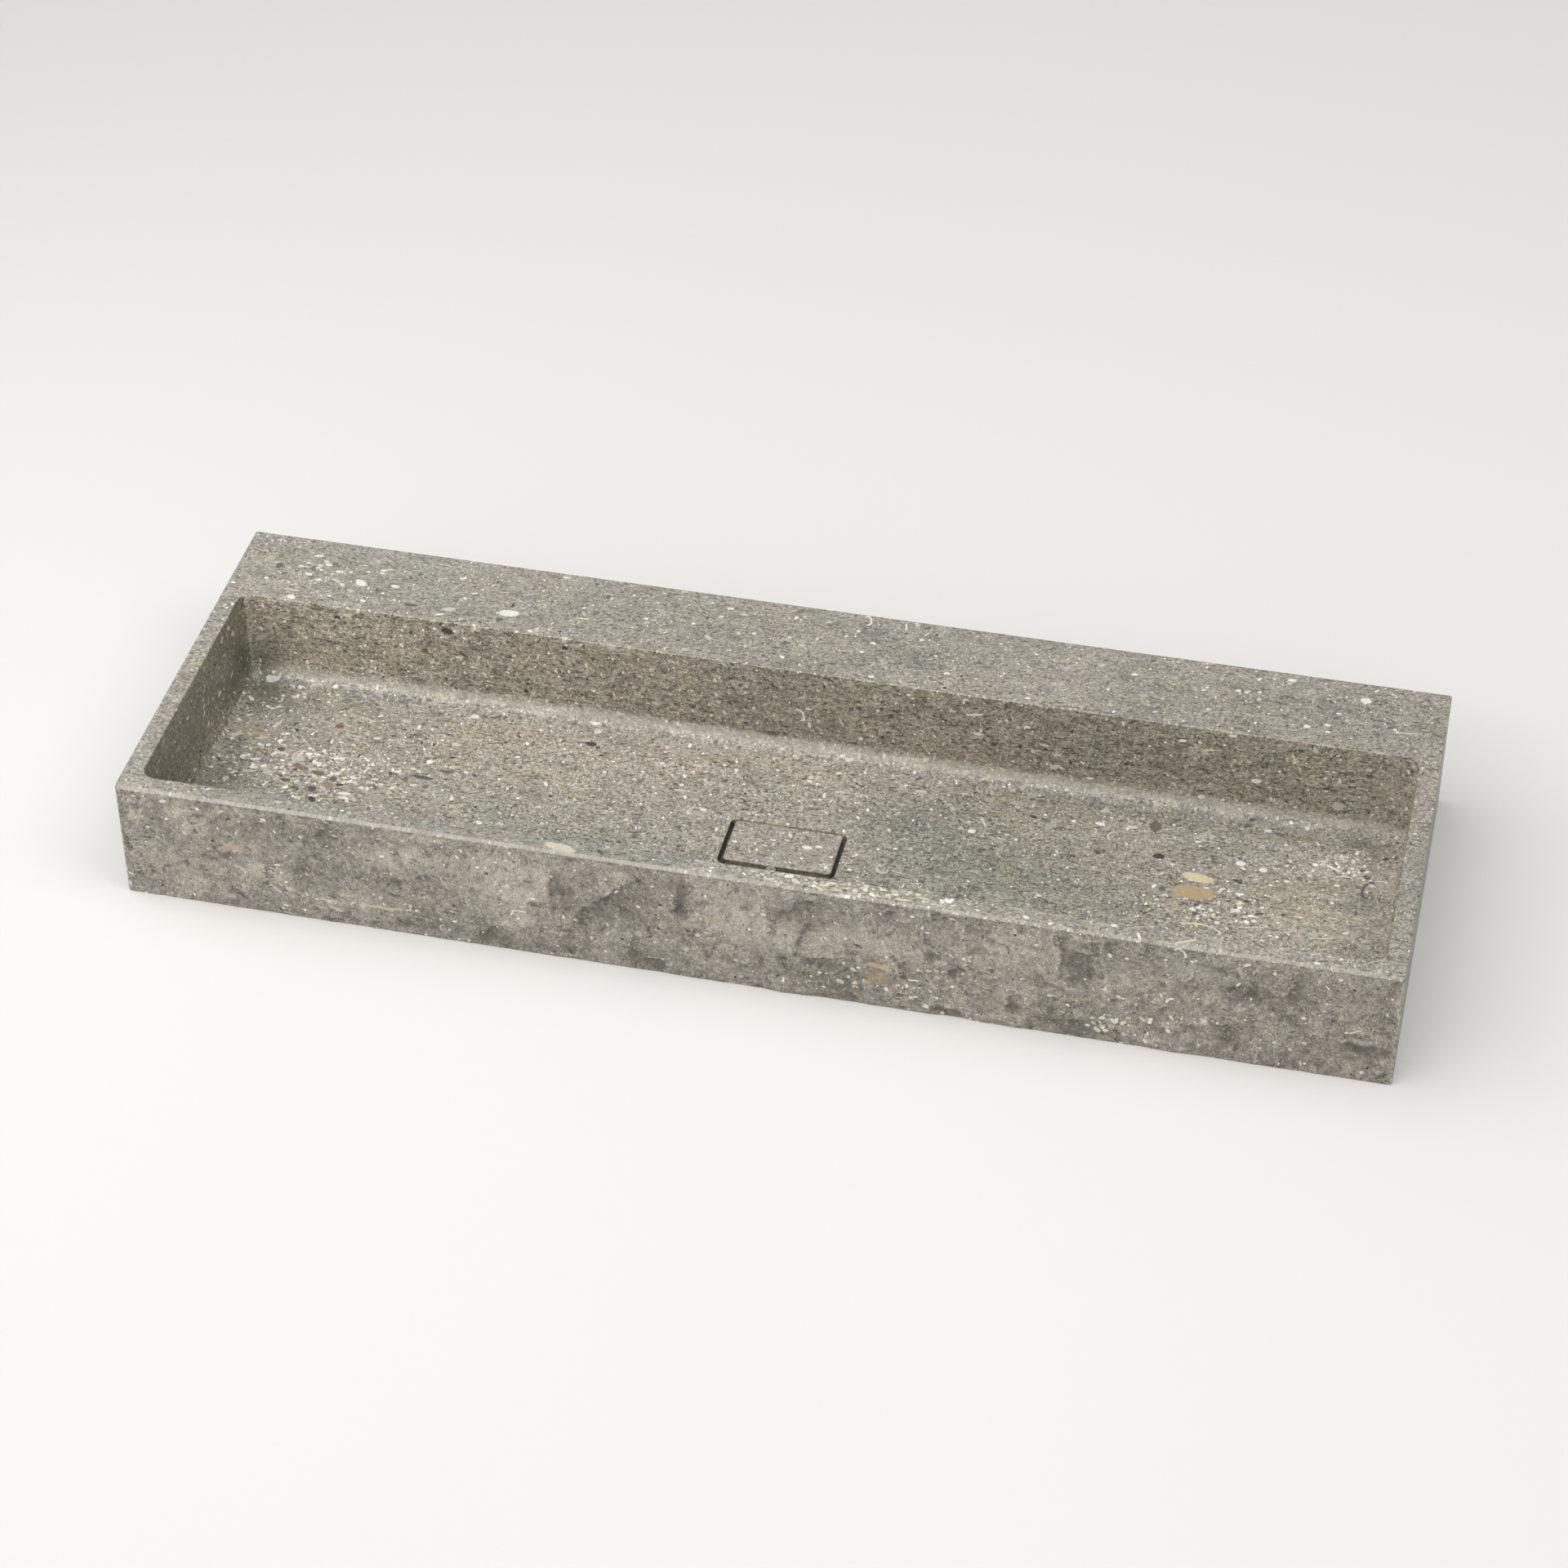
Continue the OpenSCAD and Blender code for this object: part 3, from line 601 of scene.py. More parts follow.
        (-16, 75.3, 8, 4.8, -70, C, WHITE), (-7, 84.5, 3.2, 1.3, 0, E, WHITE),
        (3, 71.5, 2.9, 1.5, -50, E, PALE), (25.5, 74, 6, 1.2, -65, E, PALE),
        (49, 69, 4, 1.4, 60, E, PALE), (45, 57, 2.5, 1.9, 0, E, WHITE),
        (-42.3, 47, 6.8, 3, -3, E, (0.05, 0.042, 0.035)), (-20, 47.5, 2.8, 2, 0, E, GREY),
        (66.5, 62.8, 2.2, 1.7, 0, E, DARK), (75, 91.3, 2.6, 1.2, 0, E, DARK),
        (51, 84.5, 2.8, 1, 20, E, DARK), (-161, 64.4, 4, 2, -10, E, PALE),
        (-144.8, 119.5, 2.6, 1.9, 0, E, PALE), (-98, 109.5, 4.4, 1.1, 5, E, PALE),
        (-91, 65, 3.2, 2, -60, E, PALE), (91.5, 119.4, 2.4, 1.7, 0, E, WHITE),
        (156, 106.5, 8.4, 1.6, 10, E, WHITE), (159.8, 83.5, 4.8, 1.9, 0, E, WHITE),
        (135, 107, 3.6, 1.2, 10, E, PALE), (-40, 94, 3.2, 1.3, 0, E, PALE),
        (509, 57.6, 5.6, 4.8, -10, E, (0.52, 0.49, 0.42)), (430, 74.4, 5, 2.8, 5, E, WHITE),
        (357, 110.8, 4.1, 1.9, 5, E, WHITE), (404, 125, 3.7, 1.9, 0, E, WHITE),
        (482, 122.5, 4.2, 1.6, -75, E, PALE), (462.8, 110, 4.6, 1.3, -65, E, CREAM),
        (412.8, 112, 5.4, 3, 170, C, PALE), (384, 104, 8.4, 1.1, 10, E, CREAM),
        (534, 107, 3.8, 1.6, 0, E, CREAM), (225, 81.5, 4.6, 1.6, -8, E, PALE),
        (236.5, 56.5, 6, 2.8, 25, E, PALE), (379, 45.8, 3.6, 2.2, 10, E, WHITE),
        (270.8, 48.5, 3.5, 1.7, 0, E, WHITE), (305, 72.6, 2.2, 1.9, 0, E, DARK),
        (496.5, 77, 3.5, 1.6, -8, E, DARK), (208, 100.6, 2.7, 1.8, 0, E, WHITE)],
    "front": [
        (-487, 76.0, 14, 2.4, -6, E, (0.52, 0.41, 0.29)), (-494, 74, 7, 2.8, 14, E, (0.48, 0.36, 0.24)),
        (-476, 45, 5, 1.8, -25, E, (0.44, 0.36, 0.25)), (-466, 40, 9, 3, -22, S, (0.40, 0.31, 0.20)),
        (-492, 63, 4, 3, 0, S, (0.32, 0.20, 0.13)), (-452, 32, 14, 2, -38, S, PALE),
        (-554, 118, 3.8, 2.2, 25, E, WHITE), (-497, 117, 3.2, 1.6, 25, E, CREAM),
        (-456, 114, 2.8, 1.8, -10, E, WHITE), (-421, 100, 1.8, 2, 0, E, WHITE),
        (-447, 60.5, 3.2, 1.4, 8, E, WHITE), (-442, 12, 2.6, 1.6, 0, E, WHITE),
        (-480, 108, 1.8, 1.5, 0, E, WHITE), (-386, 107.5, 3, 1.6, 0, E, PALE),
        (-391, 17.5, 5.6, 1.1, -28, E, CREAM), (-401, 28, 5, 1, -20, E, CREAM),
        (-408, 17, 5.5, 0.9, -10, E, PALE), (-375, 27, 5, 0.9, 35, E, CREAM),
        (-347, 40, 2.3, 1.6, 0, E, PALE), (-320, 30, 4.6, 1.2, 30, E, PALE),
        (-269, 105, 2.6, 1.2, -60, E, WHITE), (-250, 96, 2.4, 1.5, 10, E, WHITE),
        (-198, 69, 3, 1.5, 5, E, WHITE), (-276, 24.4, 2.6, 1.5, 15, E, WHITE),
        (-289, 24.4, 1.7, 1.3, 0, E, WHITE), (-143.5, 30.4, 1.9, 1.5, 0, E, WHITE),
        (-98, 77, 1.9, 1.5, 0, E, WHITE), (-42, 53, 2.8, 1.8, 0, E, PALE),
        (-6, 30, 2.6, 2.2, 0, E, PALE), (-212, 50, 8.4, 0.6, 6, E, WHITE),
        (-219, 46.5, 3, 1, 62, E, WHITE), (-83, 17.6, 8.6, 0.7, 4, E, PALE),
        (-26, 74, 9.6, 3.6, -10, C, (0.52, 0.39, 0.22)), (-30, 77, 4, 1.6, 10, E, (0.52, 0.39, 0.22)),
        (128, 48.6, 12, 3.2, -11, E, (0.54, 0.42, 0.26)), (127, 35, 16.5, 8.2, -4, S, (0.40, 0.29, 0.165)),
        (118, 27, 6, 4, 0, S, (0.38, 0.29, 0.18)), (122, 38, 3.4, 2.4, 0, E, GREY),
        (163, 38.6, 3.4, 1, 5, E, WHITE), (158, 38, 2.8, 1, 0, E, WHITE),
        (159.5, 16.4, 3.4, 1.9, -50, E, WHITE), (173, 10.4, 2.2, 1.7, 0, E, WHITE),
        (20.5, 91.6, 2.4, 2.2, 0, E, WHITE), (39, 15.8, 3.2, 1.2, 85, E, WHITE),
        (21, 74, 3.4, 0.7, 85, E, WHITE), (172, 98.4, 2.2, 1.3, 0, E, WHITE),
        (183, 74, 3.4, 0.9, -30, E, PALE), (286, 45, 2.8, 1.4, 5, E, WHITE),
        (252, 44, 6, 2.6, 0, C, PALE), (272, 105, 1.8, 1.4, 0, E, WHITE),
        (401, 120, 7, 4.2, -45, C, WHITE), (413.5, 113.4, 3.4, 2, 20, E, WHITE),
        (461, 118, 3.6, 1.8, 30, E, WHITE), (354, 105, 2, 1.4, -40, E, WHITE),
        (387, 66.4, 2.6, 1, -55, E, WHITE), (396, 64, 2.8, 1.4, 10, E, WHITE),
        (349, 57.6, 2.7, 1.4, -30, E, WHITE), (455, 94.4, 3, 1.4, 50, E, WHITE),
        (516, 64.8, 2.7, 2, 0, E, WHITE), (560, 57, 9, 0.9, 30, E, CREAM),
        (427, 44, 4.4, 3, 80, S, WHITE), (419, 40, 3.4, 2.6, 0, S, WHITE),
        (407, 42, 3, 1, 85, E, CREAM), (365, 50, 2.4, 0.9, 85, E, WHITE),
        (346, 26, 4.4, 2.6, -30, E, WHITE), (335, 28, 2.8, 1.8, 10, E, WHITE),
        (326, 25.4, 2.4, 1.6, 0, E, CREAM), (359, 32, 2.4, 1.6, 0, E, CREAM),
        (362, 23, 5.2, 1.3, -18, C, CREAM), (331, 13, 4.2, 2.4, -40, E, CREAM),
        (339, 13.6, 3, 2, 20, E, WHITE), (371, 33, 3.6, 1.4, -45, E, CREAM),
        (378, 30, 2.6, 1.9, 0, E, WHITE), (322, 15.6, 2.2, 1.5, 0, E, WHITE),
        (355, 12, 2.6, 1.6, 0, E, CREAM), (345, 20, 9, 3, -15, S, (0.36, 0.28, 0.19)),
        (518.5, 34.6, 2.3, 1.5, -30, E, WHITE), (572, 10.4, 1.9, 1.9, 0, E, WHITE),
        (312, 46, 14, 2.2, 12, S, (0.40, 0.34, 0.24)), (544, 118, 2.2, 1.5, 0, E, WHITE),
        # painted shade: soft dark patches in hollows and under steps of the split face
        (60, 86, 5, 3.6, 40, S, PIT_SHADE), (57, 76, 3.4, 8, -14, S, PIT_SHADE), (53, 63, 3.0, 9, -14, S, PIT_SHADE),
        (50, 48, 2.4, 7, -10, S, PIT_SHADE), (175, 72, 5, 7.5, -20, S, PIT_SHADE), (196, 54, 4.4, 6, 0, S, PIT_SHADE),
        (337, 114, 4, 5.6, 0, S, PIT_SHADE), (449, 86, 9, 5, 0, S, PIT_SHADE), (470, 83, 8, 5, 10, S, PIT_SHADE),
        (505, 89, 7.5, 9, 0, S, PIT_SHADE), (567, 36, 15, 4, -4, S, PIT_SHADE), (448, 27, 4, 9, 0, S, PIT_SHADE),
        (252, 29, 4.6, 10, 20, S, PIT_SHADE), (288, 28, 6, 7, 0, S, PIT_SHADE), (309, 5, 12, 3.6, -8, S, PIT_SHADE),
        (-498, 65, 9, 3.6, -8, S, PIT_SHADE), (-300, 72, 9, 3.6, 10, S, PIT_SHADE), (-330, 63, 5, 7, 0, S, PIT_SHADE),
        (-243, 16, 7, 11, -20, S, PIT_SHADE), (-170, 13, 11, 5, 0, S, PIT_SHADE), (-105, 13, 7, 9, 0, S, PIT_SHADE),
        (-85, 8, 12, 4.4, 0, S, PIT_SHADE), (-58, 88, 4.4, 18, -8, S, PIT_SHADE), (-172, 84, 5, 12, 10, S, PIT_SHADE),
        (-478, 46, 20, 1.8, -24, S, CREAM), (-440, 34, 24, 2.0, -22, S, CREAM), (-392, 27, 26, 2.2, -4, S, CREAM),
        (-345, 27, 22, 2.0, 4, S, CREAM), (-372, 37, 18, 2.0, 8, S, CREAM), (-455, 52, 16, 1.6, -30, S, PALE)],
    "cover": [
        (22.8, -35, 5.2, 2.5, 5, E, WHITE), (33.5, -31.2, 3.9, 2.1, 0, E, WHITE),
        (2, -28.8, 3.2, 1.5, -8, E, PALE), (-11.5, -31.3, 3.1, 1.1, 0, E, WHITE),
        (-46.5, -41.3, 2.5, 1.6, 0, E, WHITE), (-17, -40.8, 3, 1.2, 0, E, PALE),
        (-1, -59, 5, 1.5, 18, E, BLUE), (-7, -57.4, 1.8, 1.1, 0, E, WHITE),
        (-25, -33, 2.6, 1, 10, E, PALE), (40, -56, 2.2, 1, 0, E, PALE)],
}
# Soft zones: sheet, x, y, half sizes, turn, what changes, how much
GREEN, WARM, YELLOW, DENSE, BLUISH, SHADE, LIGHT = range(7)
ZONES = [
    ("floor", 195, -35, 120, 48, 0, GREEN, 1.0), ("floor", 120, 20, 60, 40, 0, GREEN, 0.7),
    ("floor", -285, -50, 36, 14, 0, GREEN, 0.7), ("floor", -400, 58, 40, 14, 10, GREEN, 0.4),
    ("floor", 410, 50, 70, 30, 0, GREEN, 0.45), ("floor", -20, -60, 60, 24, 0, GREEN, 0.6),
    ("floor", -150, 30, 150, 60, 0, WARM, 0.7), ("floor", -330, 20, 90, 60, 0, WARM, 0.4),
    ("floor", 310, 60, 40, 26, 0, WARM, 0.4), ("floor", 500, -28, 68, 40, 0, YELLOW, 0.9),
    ("floor", -476, -26, 60, 38, 0, DENSE, 1.5), ("floor", -540, 20, 34, 30, 0, DENSE, 0.5),
    ("floor", 520, 48, 44, 24, 0, DENSE, 0.7), ("floor", 415, -35, 44, 26, 0, DENSE, 0.6),
    ("floor", -545, 80, 50, 26, 0, DENSE, 0.4), ("floor", -562, 84, 22, 24, 0, BLUISH, 1.0),
    ("floor", 109, 22, 20, 18, 0, BLUISH, 0.7), ("floor", 548, 2, 24, 22, 0, BLUISH, 0.8),
    ("floor", -560, -60, 26, 40, 0, BLUISH, 0.6), ("floor", -540, 62, 42, 12, -30, SHADE, 0.5),
    ("floor", 540, 85, 30, 14, 0, SHADE, 0.5), ("floor", -60, 80, 200, 20, 0, WARM, 0.3),
    ("floor", -150, -75, 430, 14, 0, GREEN, 0.45),
    ("top", -290, 185, 56, 22, 0, WARM, 0.6), ("top", 240, 150, 66, 44, 0, WARM, 0.8),
    ("top", -2, 155, 9, 15, 0, YELLOW, 0.8), ("top", 47, 182, 13, 10, 0, BLUISH, 0.9),
    ("top", 95, 145, 16, 12, 0, BLUISH, 0.7), ("top", -250, 125, 260, 18, 0, GREEN, 0.3),
    ("top", -500, 150, 60, 26, 0, DENSE, 0.35), ("top", -220, -194, 380, 12, 0, GREEN, 0.9),
    ("top", 110, -194, 76, 12, 0, YELLOW, 0.8), ("top", 110, -194, 90, 14, 0, DENSE, 1.3),
    ("top", 400, -194, 180, 12, 0, WARM, 0.5), ("top", -591, -20, 16, 210, 0, WARM, 0.7),
    ("top", 540, 150, 60, 40, 0, BLUISH, 0.3), ("top", -450, 195, 60, 14, 0, GREEN, 0.4),
    ("inner_left", 72, 55, 34, 40, 0, SHADE, 0.8), ("inner_left", -60, 80, 90, 30, 0, GREEN, 0.6),
    ("back", -480, 100, 80, 26, 0, GREEN, 0.35), ("back", -560, 60, 20, 40, 0, SHADE, 0.7),
    ("back", -100, 118, 80, 14, 0, WARM, 0.5), ("back", 150, 55, 50, 14, 0, YELLOW, 0.5),
    ("back", 440, 110, 60, 16, 0, YELLOW, 0.35), ("back", -30, 66, 70, 30, 0, SHADE, 0.3),
    ("front", -530, 103, 26, 22, 0, LIGHT, 0.7), ("front", -534, 17, 22, 15, 0, LIGHT, 0.8),
    ("front", -322, 94, 34, 18, 0, LIGHT, 0.7), ("front", -218, 88, 40, 34, 0, LIGHT, 1.0),
    ("front", -212, 36, 22, 12, 0, LIGHT, 0.5), ("front", -128, 98, 26, 12, 40, LIGHT, 0.6),
    ("front", -30, 100, 26, 26, 0, LIGHT, 0.7), ("front", 92, 78, 30, 20, 0, LIGHT, 0.7),
    ("front", 12, 80, 18, 34, 0, LIGHT, 0.5), ("front", 155, 78, 40, 18, 0, LIGHT, 0.5),
    ("front", 262, 96, 34, 22, 0, LIGHT, 0.6), ("front", 418, 98, 40, 12, 0, LIGHT, 0.4),
    ("front", -106, 84, 18, 38, -45, SHADE, 1.0), ("front", -170, 80, 14, 26, 0, SHADE, 0.7),
    ("front", -58, 98, 10, 28, 0, SHADE, 0.9), ("front", 45, 100, 28, 18, 0, SHADE, 0.8),
    ("front", 85, 28, 24, 26, 0, SHADE, 0.8), ("front", 311, 78, 13, 28, 0, SHADE, 0.9),
    ("front", -402, 104, 16, 14, 0, SHADE, 0.5), ("front", -425, 57, 9, 18, 0, SHADE, 0.7),
    ("front", 462, 86, 18, 9, 0, SHADE, 0.9), ("front", 503, 90, 10, 13, 0, SHADE, 0.8),
    ("front", 574, 36, 26, 7, 0, SHADE, 0.9), ("front", 252, 26, 12, 14, 0, SHADE, 0.7),
    ("front", 315, 10, 18, 16, 0, SHADE, 0.7), ("front", -244, 18, 13, 12, 0, SHADE, 0.8),
    ("front", -84, 11, 11, 8, 0, SHADE, 0.9), ("front", 196, 5, 18, 4, 0, SHADE, 1.0),
    ("front", 448, 29, 9, 10, 0, SHADE, 0.6), ("front", -505, 103, 14, 8, 0, SHADE, 0.4),
    ("front", 390, 100, 60, 16, 0, GREEN, 0.8), ("front", 30, 30, 34, 22, 0, GREEN, 0.7),
    ("front", -20, 28, 30, 18, 0, GREEN, 0.8), ("front", -395, 24, 34, 16, 0, YELLOW, 0.6),
    ("front", 350, 22, 34, 18, 0, DENSE, 0.6), ("front", 160, 28, 40, 24, 0, DENSE, 0.3),
    ("front", 340, 46, 40, 12, 10, YELLOW, 0.5), ("front", 215, 30, 30, 22, 0, YELLOW, 0.4),
    ("front", -60, 100, 180, 20, 0, GREEN, 0.3), ("front", -490, 60, 18, 10, 0, BLUISH, 0.6),
    ("front", 120, 30, 50, 20, 0, DENSE, 0.3), ("front", -465, 52, 14, 10, -30, BLUISH, 0.5),
    ("front", -555, 50, 38, 20, 0, LIGHT, 0.5), ("front", -460, 50, 38, 18, -25, LIGHT, 0.8),
    ("front", -365, 28, 30, 12, 0, LIGHT, 0.9), ("front", -345, 85, 15, 10, 0, LIGHT, 0.6),
    ("front", -305, 100, 14, 12, 0, LIGHT, 0.7), ("front", -270, 85, 30, 15, 0, LIGHT, 0.3),
    ("front", -225, 62, 25, 22, 0, LIGHT, 0.4), ("front", -175, 100, 15, 14, 0, LIGHT, 0.8),
    ("front", -185, 62, 12, 10, 0, LIGHT, 0.3), ("front", -130, 20, 11, 14, 0, LIGHT, 0.6),
    ("front", -88, 95, 14, 9, 0, LIGHT, 0.5), ("front", -10, 70, 20, 28, 0, LIGHT, 0.8),
    ("front", -20, 30, 20, 14, 0, LIGHT, 0.3), ("front", 15, 113, 26, 13, 0, LIGHT, 0.8),
    ("front", 36, 68, 25, 19, 0, LIGHT, 0.9), ("front", 78, 55, 13, 11, 0, LIGHT, 0.5),
    ("front", 120, 78, 20, 10, 0, LIGHT, 0.4), ("front", 150, 68, 20, 10, 0, LIGHT, 0.4),
    ("front", 225, 105, 16, 12, 0, LIGHT, 0.4), ("front", 250, 45, 15, 11, 0, LIGHT, 0.8),
    ("front", 317, 63, 15, 13, 0, LIGHT, 0.6), ("front", 360, 75, 26, 14, 0, LIGHT, 0.5),
    ("front", 230, 72, 20, 10, 0, LIGHT, 0.3), ("front", 210, 10, 22, 9, 0, LIGHT, 0.5),
    ("front", 418, 42, 14, 10, 0, LIGHT, 0.5), ("front", 345, 24, 26, 12, 0, LIGHT, 0.4),
    ("front", -498, 84, 12, 16, 0, SHADE, 0.5), ("front", -465, 112, 20, 12, 0, SHADE, 0.4),
    ("front", -415, 112, 14, 10, 0, SHADE, 0.3), ("front", -330, 62, 18, 10, 0, SHADE, 0.5),
    ("front", -300, 25, 26, 16, 0, SHADE, 0.6), ("front", -240, 8, 20, 13, 0, SHADE, 0.7),
    ("front", -190, 18, 20, 12, 0, SHADE, 0.7), ("front", -146, 74, 13, 24, -30, SHADE, 0.6),
    ("front", -150, 38, 13, 10, 0, SHADE, 0.5), ("front", -105, 20, 13, 18, 0, SHADE, 0.7),
    ("front", -75, 8, 20, 8, 0, SHADE, 0.5), ("front", -420, 45, 12, 12, 0, SHADE, 0.3),
    ("front", 85, 92, 22, 11, 0, SHADE, 0.4), ("front", 150, 105, 30, 8, 0, SHADE, 0.5),
    ("front", 92, 26, 20, 14, 0, SHADE, 0.7), ("front", 45, 8, 20, 10, 0, SHADE, 0.5),
    ("front", 300, 12, 26, 14, 0, SHADE, 0.8), ("front", 320, 32, 16, 8, 0, SHADE, 0.4),
    ("front", 338, 108, 18, 11, 0, SHADE, 0.6), ("front", 448, 95, 14, 12, 0, SHADE, 0.5),
    ("front", 503, 88, 21, 16, 0, SHADE, 1.0), ("front", 490, 65, 18, 8, 0, SHADE, 0.5),
    ("front", 448, 25, 14, 20, 0, SHADE, 0.7), ("front", 397, 55, 8, 14, 0, SHADE, 0.3),
    ("front", 385, 10, 24, 10, 0, SHADE, 0.3), ("front", 520, 15, 40, 18, 0, SHADE, 0.4),
    ("front", 560, 30, 30, 20, 0, SHADE, 0.3), ("front", 555, 108, 20, 8, 0, SHADE, 0.3),
    ("floor", -564, 92, 24, 24, 0, SHADE, 1.0), ("back", -568, 46, 16, 20, 0, SHADE, 0.9),
    ("inner_left", 84, 44, 30, 24, 0, SHADE, 1.0), ("floor", -562, -72, 24, 30, 0, SHADE, 0.7),
    ("floor", -540, 18, 34, 18, 0, LIGHT, 0.5), ("floor", -490, 45, 30, 22, 0, LIGHT, 0.4),
    ("floor", -495, -15, 26, 16, 0, LIGHT, 0.5), ("floor", -490, -45, 26, 14, 0, LIGHT, 0.3),
    ("floor", -550, 75, 24, 16, 0, SHADE, 0.6), ("floor", -190, 20, 20, 18, 0, SHADE, 0.2),
    ("floor", 105, 38, 30, 14, -10, SHADE, 0.25), ("floor", 138, 2, 20, 12, -30, SHADE, 0.2),
    ("floor", 200, 58, 30, 12, 10, SHADE, 0.3), ("floor", 285, 32, 20, 14, -30, SHADE, 0.3),
    ("floor", 310, 62, 26, 14, 0, LIGHT, 0.4), ("floor", 350, 55, 26, 20, 0, LIGHT, 0.3),
    ("floor", 500, -50, 44, 18, 0, LIGHT, 0.45), ("floor", 540, -22, 30, 20, 0, LIGHT, 0.4),
    ("floor", 520, 44, 34, 14, 0, LIGHT, 0.5), ("floor", 558, 30, 20, 22, 0, LIGHT, 0.5),
    ("floor", 475, 78, 30, 10, 0, SHADE, 0.4), ("floor", -95, -12, 22, 16, 0, LIGHT, 0.3),
    ("back", -560, 80, 26, 26, 0, LIGHT, 0.3), ("back", -395, 88, 26, 20, 0, WARM, 0.6),
    ("back", 335, 88, 34, 14, 0, SHADE, 0.3), ("back", 560, 80, 12, 40, 0, LIGHT, 0.8),
    ("top", 240, 165, 60, 26, 0, LIGHT, 0.25), ("top", -30, 182, 24, 12, 0, SHADE, 0.25),
    ("top", 18, 168, 18, 14, 0, SHADE, 0.25), ("top", 370, 160, 24, 16, -30, SHADE, 0.25),
    ("top", -450, 190, 50, 14, 0, LIGHT, 0.25),
]


# colour balance of each sawn face, painted light and shade: each face is scaled lighter or darker for how light falls
# on it, the inner left wall and the right end face darkest
TONE_AND_LIGHT_BALANCE = {"top": (1.05, 1.055, 1.08), "floor": (1.125, 1.115, 1.125), "back": (0.955, 0.92, 0.89), "front": (1.115, 1.095, 1.085),
           "inner_left": (0.80, 0.79, 0.75), "right": (0.62, 0.63, 0.64)}
# how strongly the grain and the streaks along the bedding show on each face
GRAIN = {"top": (1.04, 0.35, 0), "floor": (1.26, 0.45, 0), "back": (1.38, 1.0, 0), "front": (1.12, 0.7, 0),
         "inner_left": (1.25, 0.8, 0), "inner_right": (1.25, 0.8, 0), "inner_front": (1.25, 0.8, 0),
         "cover": (1.10, 0.4, 0)}


def sheets_of(me, cover):
    """Which flat sheet each face belongs to, and each corner's place on it (mm)."""
    nl, nf = len(me.loops), len(me.polygons)
    lv = np.zeros(nl, np.int32); me.loops.foreach_get("vertex_index", lv)
    co = np.zeros(len(me.vertices) * 3, np.float32); me.vertices.foreach_get("co", co)
    co = co.reshape(-1, 3) * 1000.0
    nrm = np.zeros(nf * 3, np.float32); me.polygons.foreach_get("normal", nrm)
    nrm = nrm.reshape(-1, 3)
    mid = np.zeros(nf * 3, np.float32); me.polygons.foreach_get("center", mid)
    mid = mid.reshape(-1, 3) * 1000.0
    tot = np.zeros(nf, np.int32); me.polygons.foreach_get("loop_total", tot)
    start = np.zeros(nf, np.int32); me.polygons.foreach_get("loop_start", start)
    face = np.repeat(np.arange(nf), tot)
    ax = np.abs(nrm)
    name = np.full(nf, "none", dtype=object)
    rough = (mid[:, 1] < -196) & (mid[:, 2] < Z_HIGH + 0.01) & (nrm[:, 1] < -0.25) & (np.abs(mid[:, 0]) < 598.1)
    up = (ax[:, 2] >= 0.7) & ~rough
    ny = (ax[:, 1] > 0.7) & ~up & ~rough
    nx = ~up & ~ny & ~rough
    if cover:
        name[:] = "side"
        name[(nrm[:, 2] > 0.5)] = "cover"
    else:
        name[rough] = "front"
        name[up & (mid[:, 2] > 110)] = "top"
        name[up & (mid[:, 2] < 50) & (nrm[:, 2] > 0)] = "floor"
        name[up & (mid[:, 2] < 20) & (nrm[:, 2] < 0)] = "under"
        name[ny & (mid[:, 1] > 80) & (mid[:, 1] < 120)] = "back"
        name[ny & (mid[:, 1] < -170) & (mid[:, 1] > -195)] = "inner_front"
        name[ny & (mid[:, 1] > 190)] = "wall"
        name[nx & (mid[:, 0] < -590)] = "left"
        name[nx & (mid[:, 0] > 590)] = "right"
        name[nx & (mid[:, 0] < -560) & (mid[:, 0] > -590)] = "inner_left"
        name[nx & (mid[:, 0] > 560) & (mid[:, 0] < 590)] = "inner_right"
    use_x = np.where(nx & (name != "cover"), 1, 0)           # first axis: y on side faces
    use_y = np.where((ny | nx | rough) & (name != "cover"), 2, 1)
    c3 = co[lv]
    p2 = np.stack([c3[np.arange(nl), use_x[face]], c3[np.arange(nl), use_y[face]]], 1)
    m2 = np.stack([mid[np.arange(nf), use_x], mid[np.arange(nf), use_y]], 1)
    size = np.sqrt(np.maximum.reduceat(((p2 - m2[face]) ** 2).sum(1), start))
    return name, p2, m2, size, face, start, tot, lv, co


def random_pebbles(sheet, box, count, seed, small, large):
    """Chips and shell pieces that follow no photograph: scattered by rule."""
    rng = np.random.RandomState(seed)
    out = []
    tones = [WHITE, PALE, CREAM, GREY, DARK, BROWN]
    odds = [0.40, 0.28, 0.08, 0.09, 0.11, 0.04]
    for _ in range(count):
        a = small + (large - small) * rng.random_sample() ** 2.6
        kind = C if rng.random_sample() < 0.10 and a > 2.0 else E
        b = a * rng.uniform(0.28, 0.8) if kind == E else a * rng.uniform(0.5, 0.8)
        col = tones[rng.choice(6, p=odds)] if kind == E else PALE
        out.append((rng.uniform(box[0], box[1]), rng.uniform(box[2], box[3]), a, b,
                    rng.normal(0, 32), kind, col))
    return out


